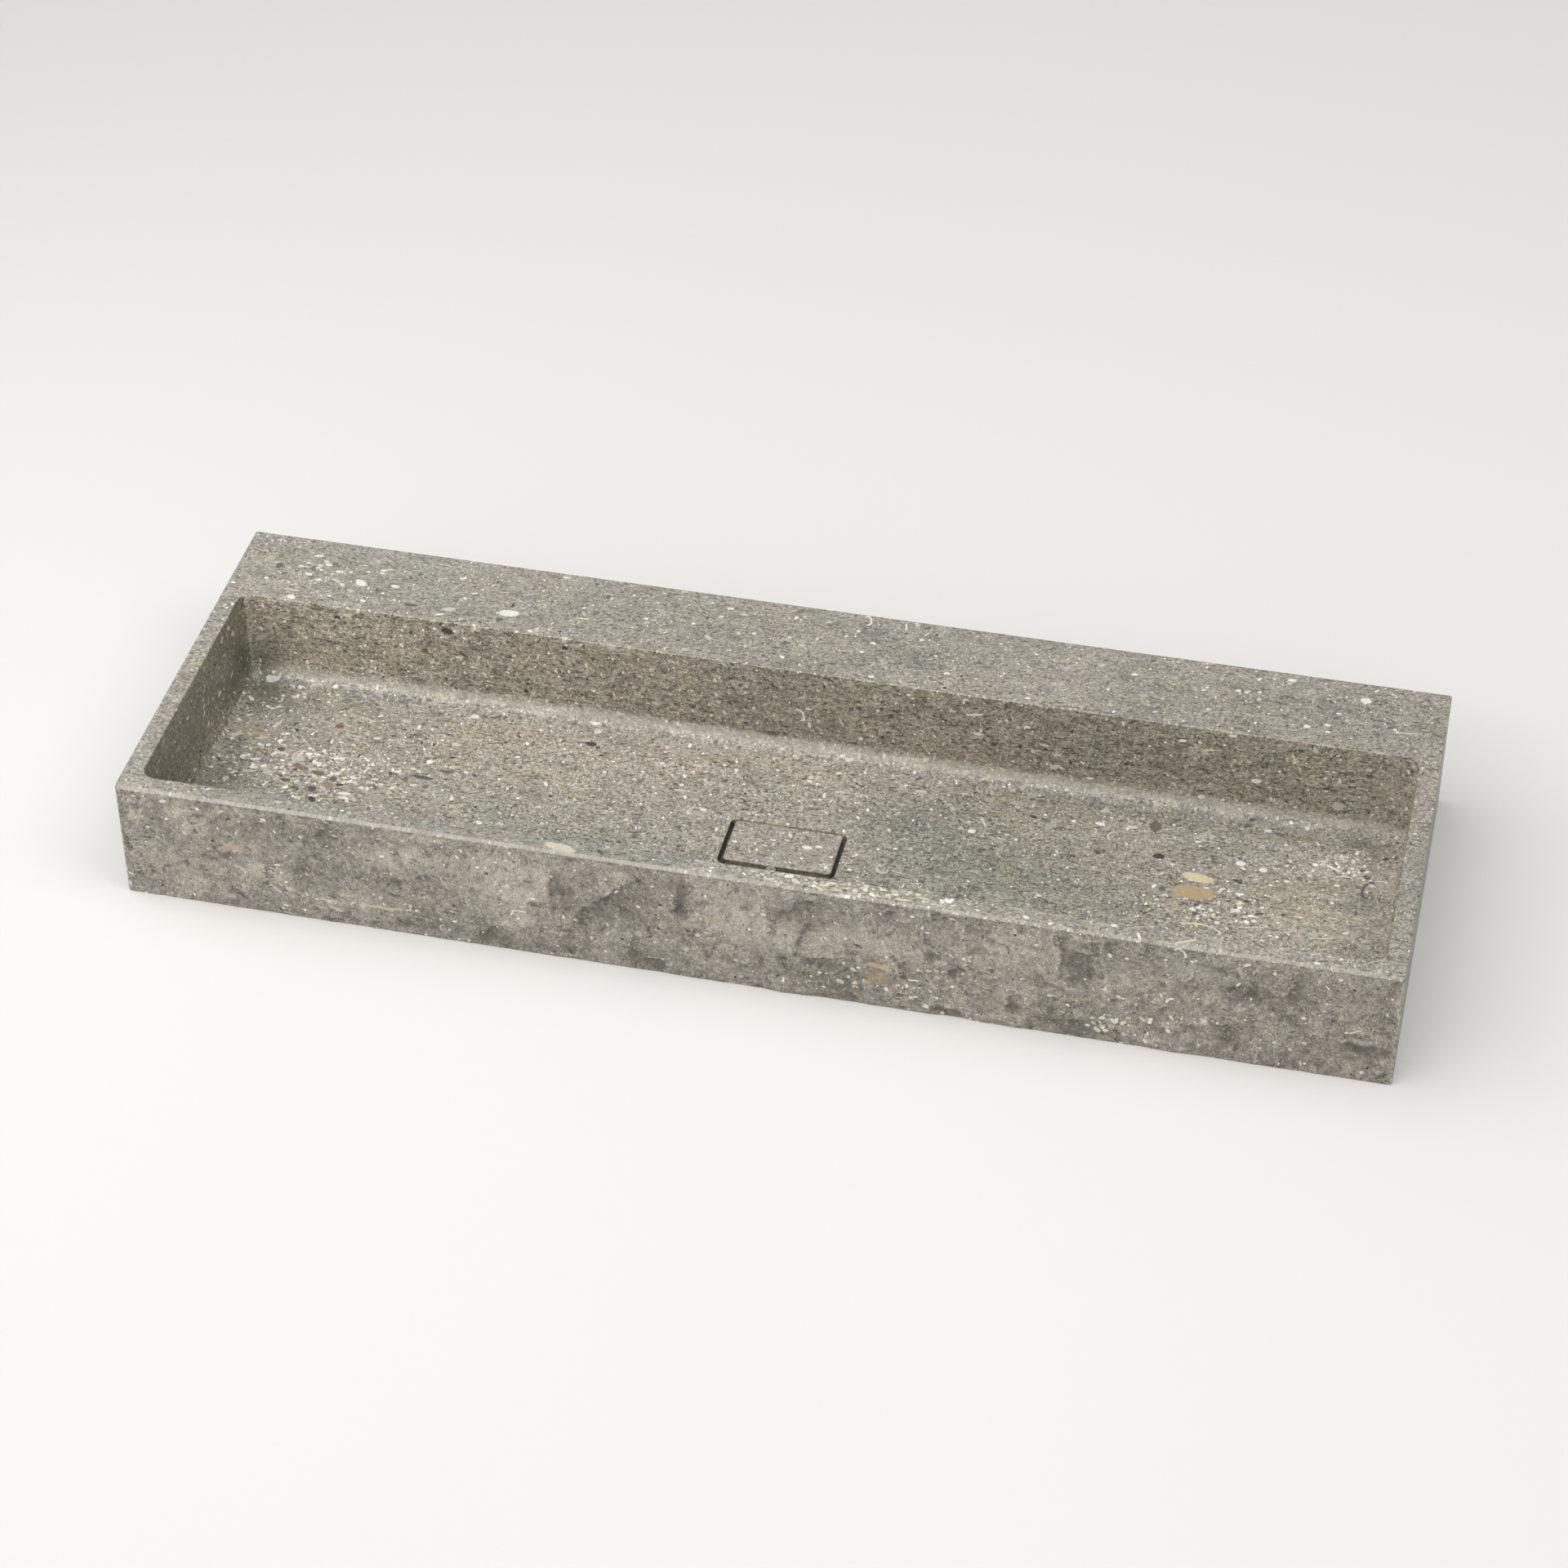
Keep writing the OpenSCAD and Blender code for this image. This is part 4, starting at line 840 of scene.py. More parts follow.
def paint(me, cover=False):
    """Writes the places of pebbles and zones on the mesh for the material."""
    name, p2, m2, size, face, start, tot, lv, co = sheets_of(me, cover)
    nl, nf = len(lv), len(name)
    loc = [np.tile(np.array([9.0, 9.0, 0.0], np.float32), (nl, 1)) for _ in range(2)]
    col = [np.zeros((nl, 4), np.float32) for _ in range(2)]
    used = np.zeros((2, nf), bool)
    lists = {k: list(v) for k, v in PEBBLES.items()}
    if not cover:
        lists["right"] = random_pebbles("right", (-200, 200, 4, 125), 55, 301, 1.2, 4.5)
        lists["left"] = random_pebbles("left", (-200, 200, 4, 125), 55, 302, 1.2, 4.5)
        lists["wall"] = random_pebbles("wall", (-595, 595, 4, 125), 170, 303, 1.2, 5.5)
        lists["inner_front"] = random_pebbles("inner_front", (-570, 570, 34, 125), 120, 304, 1.0, 4.5)
        lists["inner_left"] = random_pebbles("inner_left", (-175, 95, 34, 125), 80, 305, 1.0, 4.5)
        lists["inner_right"] = random_pebbles("inner_right", (-175, 95, 34, 125), 34, 306, 1.0, 4.5)
        lists["under"] = random_pebbles("under", (-590, 590, -195, 200), 150, 307, 1.5, 5.0)
    for sheet, entries in lists.items():
        ids = np.nonzero(name == sheet)[0]
        if not len(ids):
            continue
        c, s = m2[ids], size[ids]
        for x, y, a, b, ang, kind, tone in entries:
            near = np.hypot(c[:, 0] - x, c[:, 1] - y) < max(a, b) * 1.3 + s
            hit = ids[near]
            if not len(hit):
                continue
            busy = [used[k][hit].sum() for k in (0, 1)]
            k = 0 if busy[0] <= busy[1] else 1
            hit = hit[~used[k][hit]]
            used[k][hit] = True
            r = math.radians(ang)
            corner = np.concatenate([np.arange(start[f], start[f] + tot[f]) for f in hit]) if len(hit) else []
            if not len(corner):
                continue
            d = p2[corner] - (x, y)
            u = (d[:, 0] * math.cos(r) + d[:, 1] * math.sin(r)) / a
            v = (-d[:, 0] * math.sin(r) + d[:, 1] * math.cos(r)) / b
            loc[k][corner] = np.stack([u, v, np.full(len(u), kind)], 1)
            # painted shade: pebbles on the right end face are dimmed like the face
            dim = 0.65 if sheet == "right" else 1.0
            col[k][corner] = (tone[0] * dim, tone[1] * dim, tone[2] * dim, 1.0)
    zone = np.zeros((7, nl), np.float32)
    for sheet, x, y, rx, ry, ang, what, amount in ZONES:
        sel = np.nonzero(name[face] == sheet)[0]
        if not len(sel):
            continue
        r = math.radians(ang)
        d = p2[sel] - (x, y)
        u = (d[:, 0] * math.cos(r) + d[:, 1] * math.sin(r)) / rx
        v = (-d[:, 0] * math.sin(r) + d[:, 1] * math.cos(r)) / ry
        zone[what, sel] += amount * np.exp(-1.1 * (u * u + v * v))
    zone = np.clip(zone, 0, 1)
    # painted light and shade: each sheet's colour is scaled lighter or darker for how light falls on it, as in the
    # table
    balance = np.ones((nl, 3), np.float32)
    for sheet, rgb in TONE_AND_LIGHT_BALANCE.items():
        balance[name[face] == sheet] = rgb
    sel = name[face] == "back"                 # the back wall pales to the left
    u = p2[sel, 0] / 370.0
    balance[sel] *= (1.052 - 0.145 * u + 0.105 * u * u)[:, None]
    sel = name[face] == "front"
    balance[sel] *= (1.0 - 0.012 * p2[sel, 0] / 370.0)[:, None]
    sel = (name[face] == "top") & (p2[:, 1] < -184)
    balance[sel] *= 1.05
    sel = sel & (np.abs(p2[:, 0] - 60.0) < 200)
    balance[sel] *= (1.0 + 0.12 * (1.0 - np.abs(p2[sel, 0] - 60.0) / 200.0))[:, None]
    sel = (name[face] == "top") & (p2[:, 1] > -184) & (p2[:, 0] < -100)
    balance[sel] *= (1.0 + 0.05 * np.clip((-100.0 - p2[sel, 0]) / 200.0, 0, 1))[:, None]
    sel = name[face] == "floor"                # and the floor darkens to the right
    balance[sel] *= (1.03 - 0.13 * np.clip((p2[sel, 0] - 20.0) / 140.0, 0, 1)
                     + 0.12 * np.clip((p2[sel, 0] - 300.0) / 160.0, 0, 1))[:, None]
    if cover:
        balance *= np.array([1.15, 1.14, 1.17], np.float32)
    nrm = np.zeros(nf * 3, np.float32); me.polygons.foreach_get("normal", nrm)
    nrm = nrm.reshape(-1, 3)[face]
    fc = np.zeros(nf * 3, np.float32); me.polygons.foreach_get("center", fc)
    fc = fc.reshape(-1, 3)[face] * 1000.0
    if cover:                                  # painted shade: the cover's sides darker, its front side darker and browner
        low = (fc[:, 2] < 27.6)
        balance[low & (np.abs(nrm[:, 0]) > 0.6)] *= 0.36
        balance[low & (nrm[:, 1] < -0.6)] *= np.array([0.80, 0.74, 0.62], np.float32)
    else:                                      # painted shade inside the recess: end walls and floor darker; painted light: its back wall lighter
        low = (fc[:, 2] < 28.3) & (fc[:, 2] > 9) & (np.abs(fc[:, 0]) < 60) & (np.abs(fc[:, 1] - MID_Y) < 36)
        balance[low & (np.abs(nrm[:, 0]) > 0.6) & (np.abs(fc[:, 0]) > 48)] *= 0.36
        balance[low & (nrm[:, 2] > 0.6)] *= 0.42
        balance[low & (nrm[:, 1] < -0.6) & (fc[:, 1] > MID_Y + 30)] *= np.array([1.75, 1.62, 1.42], np.float32)
    grain = np.ones((nl, 3), np.float32)
    for sheet, amount in GRAIN.items():
        grain[name[face] == sheet] = amount
    a = me.attributes.new("grain", "FLOAT_VECTOR", "CORNER")
    a.data.foreach_set("vector", grain.ravel())
    a = me.attributes.new("balance", "FLOAT_VECTOR", "CORNER")
    a.data.foreach_set("vector", balance.ravel())
    for k, tag in enumerate("ab"):
        a = me.attributes.new("chip_" + tag, "FLOAT_VECTOR", "CORNER")
        a.data.foreach_set("vector", loc[k].ravel())
        a = me.attributes.new("chip_tone_" + tag, "FLOAT_COLOR", "CORNER")
        a.data.foreach_set("color", col[k].ravel())
    for tag, rows in (("zone_a", (GREEN, WARM, YELLOW)), ("zone_b", (DENSE, BLUISH, SHADE))):
        a = me.attributes.new(tag, "FLOAT_VECTOR", "CORNER")
        a.data.foreach_set("vector", np.stack([zone[r] for r in rows], 1).ravel().astype(np.float32))
    # face finish: x split rock, y sawn bevel band, z light patch
    fin = np.zeros((nl, 3), np.float32)
    if not cover:
        fin[:, 0] = (name[face] == "front")
        mid_z = m2[face][:, 1]
        cy = co[lv][:, 1]
        cz = co[lv][:, 2]
        fc = np.zeros(nf * 3, np.float32); me.polygons.foreach_get("center", fc)
        fc = fc.reshape(-1, 3) * 1000.0
        band = (fc[:, 1] < YF + BEVEL + 0.02) & (fc[:, 2] > Z_HIGH) & (np.abs(fc[:, 0]) < 598.1)
        fin[:, 1] = band[face]
        fin[:, 0] *= 1 - fin[:, 1]
    fin[:, 2] = zone[LIGHT]
    a = me.attributes.new("finish", "FLOAT_VECTOR", "CORNER")
    a.data.foreach_set("vector", fin.ravel())
    return name, p2, face, lv


def blurred(h, times):
    for _ in range(times):
        pad = np.pad(h, 1, mode="edge")
        h = (pad[:-2, 1:-1] + pad[2:, 1:-1] + pad[1:-1, :-2] + pad[1:-1, 2:] + 2 * h) / 6
    return h


def add_cavity(me, grid):
    """Stores how the split face lies at each point: hollow or proud, and its slope."""
    fx, fz, h = grid
    cav = np.clip((h - blurred(h, 14)) / 0.9, -1, 1)
    broad = np.clip((blurred(h, 6) - blurred(h, 160)) / 1.8, -1, 1)
    gz, gx = np.gradient(blurred(h, 2), fz, fx)
    down = np.clip(gz * 0.75 - gx * 0.55, -1, 1)         # above 0: turned down or right
    co = np.zeros(len(me.vertices) * 3, np.float32); me.vertices.foreach_get("co", co)
    co = co.reshape(-1, 3) * 1000.0
    i = np.clip(np.rint((co[:, 0] - fx[0]) / (fx[1] - fx[0])).astype(int), 0, len(fx) - 1)
    j = np.clip(np.rint((co[:, 2] - fz[0]) / (fz[1] - fz[0])).astype(int), 0, len(fz) - 1)
    on = (co[:, 1] < -195.5) & (co[:, 2] <= Z_HIGH + 0.01)
    vec = np.zeros((len(co), 3), np.float32)
    vec[on, 0] = cav[j[on], i[on]]
    vec[on, 1] = down[j[on], i[on]]
    vec[on, 2] = broad[j[on], i[on]]
    a = me.attributes.new("relief", "FLOAT_VECTOR", "POINT")
    a.data.foreach_set("vector", vec.ravel())


# ------------------------------------------------------------ material nodes
class Tree:
    def __init__(self, name):
        self.mat = bpy.data.materials.new(name)
        self.mat.use_nodes = True
        self.t = self.mat.node_tree
        self.t.nodes.clear()
        self.out = self.t.nodes.new("ShaderNodeOutputMaterial")
        self.bsdf = self.t.nodes.new("ShaderNodeBsdfPrincipled")
        self.t.links.new(self.bsdf.outputs[0], self.out.inputs["Surface"])
        self.count = 0

    def put(self, socket, value):
        if isinstance(value, bpy.types.NodeSocket):
            self.t.links.new(value, socket)
        elif value is not None:
            if hasattr(socket.default_value, "__len__"):
                n = len(socket.default_value)
                v = tuple(value) if hasattr(value, "__len__") else (value,) * n
                socket.default_value = (v + (1.0,))[:n] if len(v) < n else v[:n]
            else:
                socket.default_value = value

    def node(self, kind, **props):
        n = self.t.nodes.new(kind)
        self.count += 1
        n.location = ((self.count % 24) * 180 - 4600, -(self.count // 24) * 260)
        for k, v in props.items():
            setattr(n, k, v)
        return n

    def math(self, op, a, b=None, c=None, clamp=False):
        n = self.node("ShaderNodeMath", operation=op, use_clamp=clamp)
        for s, v in zip(n.inputs, (a, b, c)):
            self.put(s, v)
        return n.outputs[0]

    def vec(self, op, a, b=None, c=None, scale=None):
        n = self.node("ShaderNodeVectorMath", operation=op)
        for s, v in zip(n.inputs, (a, b, c)):
            self.put(s, v)
        if scale is not None:
            self.put(n.inputs["Scale"], scale)
        return n.outputs["Value"] if op in ("LENGTH", "DOT_PRODUCT", "DISTANCE") else n.outputs[0]

    def mix(self, fac, a, b, blend="MIX"):
        n = self.node("ShaderNodeMix", data_type="RGBA", blend_type=blend)
        self.put(n.inputs[0], fac)
        self.put(n.inputs[6], a)
        self.put(n.inputs[7], b)
        return n.outputs[2]

    def lerp(self, fac, a, b):
        n = self.node("ShaderNodeMix", data_type="FLOAT")
        self.put(n.inputs[0], fac)
        self.put(n.inputs[2], a)
        self.put(n.inputs[3], b)
        return n.outputs[0]

    def noise(self, vec, period, detail=2.0, rough=0.5, dist=0.0, colour=False):
        """period in mm"""
        n = self.node("ShaderNodeTexNoise", noise_dimensions="3D")
        self.put(n.inputs["Vector"], vec)
        self.put(n.inputs["Scale"], 1000.0 / period)
        self.put(n.inputs["Detail"], detail)
        self.put(n.inputs["Roughness"], rough)
        self.put(n.inputs["Distortion"], dist)
        return n.outputs["Color" if colour else "Fac"]

    def voronoi(self, vec, period, randomness=0.9, feature="F1"):
        n = self.node("ShaderNodeTexVoronoi", voronoi_dimensions="3D", feature=feature)
        self.put(n.inputs["Vector"], vec)
        self.put(n.inputs["Scale"], 1000.0 / period)
        self.put(n.inputs["Randomness"], randomness)
        return n

    def smooth(self, v, low, high, to0=0.0, to1=1.0):
        n = self.node("ShaderNodeMapRange", interpolation_type="SMOOTHSTEP", clamp=True)
        for s, x in zip(n.inputs, (v, low, high, to0, to1)):
            self.put(s, x)
        return n.outputs[0]

    def span(self, v, low, high, to0=0.0, to1=1.0):
        n = self.node("ShaderNodeMapRange", interpolation_type="LINEAR", clamp=True)
        for s, x in zip(n.inputs, (v, low, high, to0, to1)):
            self.put(s, x)
        return n.outputs[0]

    def ramp(self, fac, stops, constant=False):
        n = self.node("ShaderNodeValToRGB")
        n.color_ramp.interpolation = "CONSTANT" if constant else "LINEAR"
        el = n.color_ramp.elements
        while len(el) < len(stops):
            el.new(0.5)
        for e, (pos, c) in zip(el, stops):
            e.position = pos
            e.color = (*c, 1.0)
        self.put(n.inputs[0], fac)
        return n.outputs[0]

    def attr(self, name):
        n = self.node("ShaderNodeAttribute", attribute_name=name)
        return n

    def split(self, vec):
        n = self.node("ShaderNodeSeparateXYZ")
        self.put(n.inputs[0], vec)
        return n.outputs

    def join(self, x, y, z):
        n = self.node("ShaderNodeCombineXYZ")
        for s, v in zip(n.inputs, (x, y, z)):
            self.put(s, v)
        return n.outputs[0]

    def bump(self, height, strength, dist, normal=None):
        n = self.node("ShaderNodeBump")
        self.put(n.inputs["Strength"], strength)
        self.put(n.inputs["Distance"], dist)
        self.put(n.inputs["Height"], height)
        if normal is not None:
            self.put(n.inputs["Normal"], normal)
        return n.outputs[0]

    def place(self):
        return self.node("ShaderNodeTexCoord").outputs["Object"]

    def finish(self, **values):
        for k, v in values.items():
            self.put(self.bsdf.inputs[k.replace("_", " ")], v)
        return self.mat


def stone_material(name):
    t = Tree(name)
    p = t.place()
    fin = t.split(t.attr("finish").outputs["Vector"])
    rough, band, light = fin[0], fin[1], fin[2]
    za = t.split(t.attr("zone_a").outputs["Vector"])
    zb = t.split(t.attr("zone_b").outputs["Vector"])
    green, warm, yellow = za[0], za[1], za[2]
    dense, bluish, shade = zb[0], zb[1], zb[2]
    gr = t.split(t.attr("grain").outputs["Vector"])
    rel = t.split(t.attr("relief").outputs["Vector"])
    cavity, down, broad = rel[0], rel[1], rel[2]

    # swirled bedding: places are bent before the streaks are drawn
    bend = t.vec("SUBTRACT", t.noise(p, 38, 2, 0.5, colour=True), (0.5, 0.5, 0.5))
    bent = t.vec("MULTIPLY_ADD", bend, (0.022, 0.022, 0.022), p)
    fine_bend = t.vec("SUBTRACT", t.noise(p, 2.6, 2.0, 0.65, colour=True), (0.5, 0.5, 0.5))
    ragged = t.vec("MULTIPLY_ADD", fine_bend, (0.0022, 0.0016, 0.0016), p)
    bent_ragged = t.vec("MULTIPLY_ADD", fine_bend, (0.0026, 0.0018, 0.0018), bent)
    bed = t.vec("MULTIPLY", bent, (0.55, 1.0, 1.0))

    cloud = t.noise(bed, 95, 3, 0.55)
    patch = t.noise(bed, 15, 3, 0.6)

    tone = t.mix(t.smooth(cloud, 0.34, 0.66), (0.292, 0.280, 0.240), (0.332, 0.308, 0.262))
    tone = t.mix(t.math("MULTIPLY", warm, 0.60), tone, (0.372, 0.332, 0.284))
    tone = t.mix(t.math("MULTIPLY", green, 0.80), tone, (0.236, 0.242, 0.212))
    tone = t.mix(t.math("MULTIPLY", yellow, 0.65), tone, (0.362, 0.328, 0.244))
    tone = t.mix(t.math("MULTIPLY", bluish, 0.75), tone, (0.200, 0.206, 0.192))
    base = tone
    # soft mottling, fine streaks along the bedding, and the grains themselves
    g1 = t.voronoi(t.vec("MULTIPLY", bent_ragged, (0.62, 1.0, 1.0)), 1.3)
    k1 = t.split(g1.outputs["Color"])
    step = lambda *v: [(pos, (c, c, c)) for pos, c in v]
    lift = t.ramp(k1[0], step((0.0, 0.64), (0.05, 0.84), (0.18, 0.95), (0.45, 1.00), (0.78, 1.07),
                              (0.92, 1.22), (0.975, 1.50)), True)
    tint = t.ramp(k1[2], [
        (0.0, (1.03, 1.0, 0.93)), (0.22, (0.97, 1.01, 0.98)), (0.42, (1.0, 1.0, 1.0)),
        (0.66, (1.03, 0.98, 0.97)), (0.84, (0.97, 0.99, 1.02))], True)
    soft = t.noise(bent, 3.4, 2.0, 0.62)
    fine_soft = t.noise(t.vec("MULTIPLY", bent, (0.75, 1.0, 1.0)), 1.5, 1.0, 0.5)
    line_noise = t.noise(t.vec("MULTIPLY", bent, (0.22, 1.0, 1.0)), 1.5, 2.0, 0.6)
    more = t.math("MULTIPLY", t.span(patch, 0.25, 0.75, 0.80, 1.20), t.span(soft, 0.28, 0.72, 0.66, 1.34))
    more = t.math("MULTIPLY", more, t.span(fine_soft, 0.3, 0.7, 0.82, 1.18))
    drift = t.noise(t.vec("MULTIPLY", t.vec("ADD", bent, (0.9, 0.5, 0.1)), (0.20, 1.0, 1.0)), 4.6, 2.0, 0.55)
    more = t.math("MULTIPLY", more, t.lerp(gr[1], 1.0, t.span(drift, 0.28, 0.72, 0.78, 1.22)))
    more = t.math("MULTIPLY", more, t.lerp(gr[1], 1.0, t.span(line_noise, 0.28, 0.72, 0.84, 1.16)))
    fibre = t.noise(t.vec("MULTIPLY", t.vec("ADD", bent_ragged, (0.3, 0.8, 0.6)), (0.42, 1.0, 1.0)), 1.25, 2.0, 0.6)
    more = t.math("MULTIPLY", more, t.span(fibre, 0.28, 0.72, 0.72, 1.28))
    tone = t.vec("SCALE", t.vec("MULTIPLY", tone, t.vec("MULTIPLY", tint, lift)), scale=more)
    # pale smears and short dark streaks between the grains
    smear = t.noise(t.vec("MULTIPLY", t.vec("ADD", bent, (0.61, 0.27, 0.35)), (0.45, 1.0, 1.0)), 4.2, 2.0, 0.6)
    tone = t.mix(t.smooth(smear, 0.60, 0.74, 0.0, 0.45), tone, (0.50, 0.47, 0.40))
    streak = t.noise(t.vec("MULTIPLY", t.vec("ADD", bent, (0.31, 0.17, 0.05)), (0.45, 1.0, 1.0)), 3.4, 1.5, 0.5)
    tone = t.mix(t.smooth(streak, 0.58, 0.68, 0.0, 0.66), tone, (0.092, 0.084, 0.066))
    olive = t.noise(t.vec("ADD", bed, (0.2, 0.4, 0.9)), 24.0, 2.0, 0.5)
    tone = t.mix(t.smooth(olive, 0.56, 0.72, 0.0, 0.50), tone, t.vec("MULTIPLY", tone, (1.02, 1.0, 0.84)))
    tone = t.mix(t.smooth(olive, 0.44, 0.30, 0.0, 0.50), tone, t.vec("MULTIPLY", tone, (0.93, 0.98, 0.96)))

    # split face: dusty tones, with painted light on high spots and up-facing slopes, and dark olive painted shade in
    # hollows, on down-facing slopes and in short crevices
    swirl = t.vec("MULTIPLY_ADD", t.vec("SUBTRACT", t.noise(p, 42, 2, 0.5, colour=True), (0.5, 0.5, 0.5)), (0.045, 0.045, 0.045), p)
    mottle = t.noise(bent_ragged, 13.0, 4.0, 0.62)
    coarse = t.noise(bent, 5.0, 5.0, 0.70)
    pits = t.noise(p, 2.0, 3.0, 0.7)
    hair = t.noise(t.vec("MULTIPLY", swirl, (0.8, 1.0, 0.55)), 3.4, 2.5, 0.62, 1.6)
    large = t.noise(bent, 46.0, 2.0, 0.5)
    crack = t.math("ABSOLUTE", t.math("SUBTRACT", t.noise(t.vec("MULTIPLY", swirl, (0.6, 1.0, 1.0)), 9.0, 3.0, 0.62), 0.5))
    crack = t.math("MULTIPLY", t.smooth(crack, 0.008, 0.050, 1.0, 0.0), t.smooth(t.noise(bent, 14.0, 2.0, 0.5), 0.57, 0.66))
    r_lift = t.span(mottle, 0.30, 0.70, 0.84, 1.17)
    # painted shade in the low spots of the bump and in the pits, lighter on their high spots
    r_lift = t.math("MULTIPLY", r_lift, t.span(coarse, 0.30, 0.70, 0.74, 1.25))
    r_lift = t.math("MULTIPLY", r_lift, t.span(pits, 0.28, 0.72, 0.74, 1.26))
    r_lift = t.math("MULTIPLY", r_lift, t.span(hair, 0.28, 0.72, 0.58, 1.42))
    # painted shade in hollows of the relief, painted light on its proud parts
    r_lift = t.math("MULTIPLY", r_lift, t.span(cavity, -1.0, 1.0, 0.62, 1.24))
    r_lift = t.math("MULTIPLY", r_lift, t.span(broad, -1.0, 1.0, 0.76, 1.20))
    dusty = t.mix(t.smooth(large, 0.40, 0.60), (0.285, 0.270, 0.232), (0.340, 0.306, 0.264))
    split_tone = t.vec("SCALE", t.mix(0.5, dusty, t.mix(0.6, base, tone)), scale=r_lift)
    split_tone = t.mix(t.math("MULTIPLY", light, t.smooth(mottle, 0.30, 0.58, 0.20, 0.80)), split_tone, t.vec("SCALE", (0.49, 0.452, 0.392), scale=t.math("MULTIPLY", t.span(hair, 0.28, 0.72, 0.70, 1.26), t.span(pits, 0.28, 0.72, 0.76, 1.24))))
    split_tone = t.mix(t.math("MULTIPLY", shade, t.smooth(mottle, 0.30, 0.66, 0.76, 0.40)), split_tone, t.vec("SCALE", (0.120, 0.111, 0.090), scale=t.span(pits, 0.28, 0.72, 0.6, 1.5)))
    # painted shade on slopes of the relief turned down or to the right, painted light on slopes turned up or to the
    # left
    split_tone = t.mix(t.math("MULTIPLY", t.smooth(down, 0.12, 0.75), 0.62), split_tone, (0.128, 0.118, 0.096))
    split_tone = t.mix(t.math("MULTIPLY", t.smooth(down, -0.12, -0.70), 0.30), split_tone, t.vec("SCALE", (0.44, 0.405, 0.350), scale=t.span(hair, 0.28, 0.72, 0.75, 1.25)))
    plain = t.mix(t.math("MULTIPLY", shade, 0.6), tone, (0.15, 0.148, 0.12))
    plain = t.mix(t.math("MULTIPLY", light, t.smooth(soft, 0.3, 0.7, 0.15, 0.75)), plain, (0.50, 0.475, 0.42))
    tone = t.mix(rough, plain, split_tone)

    # chips, shell plates and shell rings, cut through at all angles
    def scatter(shift, period, radii, size_low, size_high, odds, ring=None, soft=0.22, spin=1.0):
        q = t.vec("ADD", ragged, shift)
        v = t.voronoi(q, period)
        d = t.vec("SUBTRACT", q, v.outputs["Position"])
        rnd = v.outputs["Color"]
        turn = t.vec("MULTIPLY", t.vec("SUBTRACT", rnd, (0.5, 0.5, 0.5)), (6.283 * spin, 6.283 * spin, 6.283 * min(1.0, spin * 1.4)))
        r = t.node("ShaderNodeVectorRotate", rotation_type="EULER_XYZ")
        t.put(r.inputs["Vector"], d)
        t.put(r.inputs["Rotation"], turn)
        k = t.split(rnd)
        pick = t.math("FRACT", t.math("MULTIPLY", t.math("ADD", k[0], t.math("MULTIPLY", k[1], 3.7)), 9.13))
        other = t.math("FRACT", t.math("MULTIPLY", t.math("ADD", k[2], t.math("MULTIPLY", k[0], 2.3)), 7.77))
        size = t.span(other, 0.0, 1.0, size_low, size_high)
        local = t.vec("DIVIDE", r.outputs[0], tuple(x * 0.001 for x in radii))
        length = t.math("DIVIDE", t.vec("LENGTH", local), size)
        if ring is None:
            m = t.smooth(length, 1.0 - soft, 1.0 + soft, 1.0, 0.0)
        else:
            side = t.split(local)[2]
            m = t.smooth(t.math("ABSOLUTE", t.math("SUBTRACT", length, 1.0)), ring * 0.4, ring, 1.0, 0.0)
            m = t.math("MULTIPLY", m, t.smooth(side, 0.1, 0.35))
        m = t.math("MULTIPLY", m, t.math("LESS_THAN", pick, odds))
        return m, t.math("FRACT", t.math("MULTIPLY", t.math("ADD", pick, other), 5.31))

    crowd = t.math("MULTIPLY", dense, 0.5)
    fewer = t.span(green, 0.0, 1.0, 1.0, 0.60)
    sparse = t.math("MULTIPLY", fewer, t.span(rough, 0.0, 1.0, 1.0, 0.55))

    m, r1 = scatter((0.0, 0.0, 0.0), 2.7, (1.15, 0.48, 0.56), 0.5, 1.25,
                    t.math("ADD", t.math("MULTIPLY", sparse, 0.27), t.math("MULTIPLY", crowd, 0.3)), soft=0.40, spin=0.5)
    tone = t.mix(t.math("MULTIPLY", m, 0.80), tone, t.ramp(r1, [(0.0, PALE), (0.45, WHITE), (0.8, CREAM)], True))
    m, r2 = scatter((0.11, 0.07, 0.03), 3.1, (1.40, 0.50, 0.56), 0.5, 1.25, t.math("MULTIPLY", sparse, 0.28), soft=0.40, spin=0.5)
    tone = t.mix(t.math("MULTIPLY", m, 0.80), tone, t.ramp(r2, [(0.0, (0.050, 0.043, 0.034)), (0.6, (0.10, 0.086, 0.060)), (0.85, (0.15, 0.12, 0.10))], True))
    m, r3 = scatter((0.21, 0.13, 0.08), 7.0, (3.0, 1.15, 1.5), 0.35, 1.1,
                    t.math("ADD", t.math("MULTIPLY", sparse, 0.56), t.math("MULTIPLY", crowd, 0.7)), soft=0.28, spin=0.6)
    tone = t.mix(t.math("MULTIPLY", m, 0.90), tone, t.ramp(r3, [
        (0.0, WHITE), (0.40, PALE), (0.62, CREAM), (0.70, GREY), (0.82, DARK), (0.92, BROWN)], True))
    m, r7 = scatter((0.71, 0.41, 0.29), 5.2, (4.3, 1.75, 2.3), 0.45, 1.15, t.math("MULTIPLY", dense, 0.66), soft=0.26, spin=0.35)
    tone = t.mix(t.math("MULTIPLY", m, 0.92), tone, t.ramp(r7, [
        (0.0, WHITE), (0.30, PALE), (0.58, CREAM), (0.78, OLIVE), (0.92, BROWN)], True))
    m, r4 = scatter((0.33, 0.19, 0.13), 7.6, (3.2, 3.2, 0.36), 0.5, 1.0, t.math("ADD", t.math("MULTIPLY", fewer, 0.40), crowd))
    tone = t.mix(t.math("MULTIPLY", m, 0.70), tone, (0.58, 0.55, 0.46))
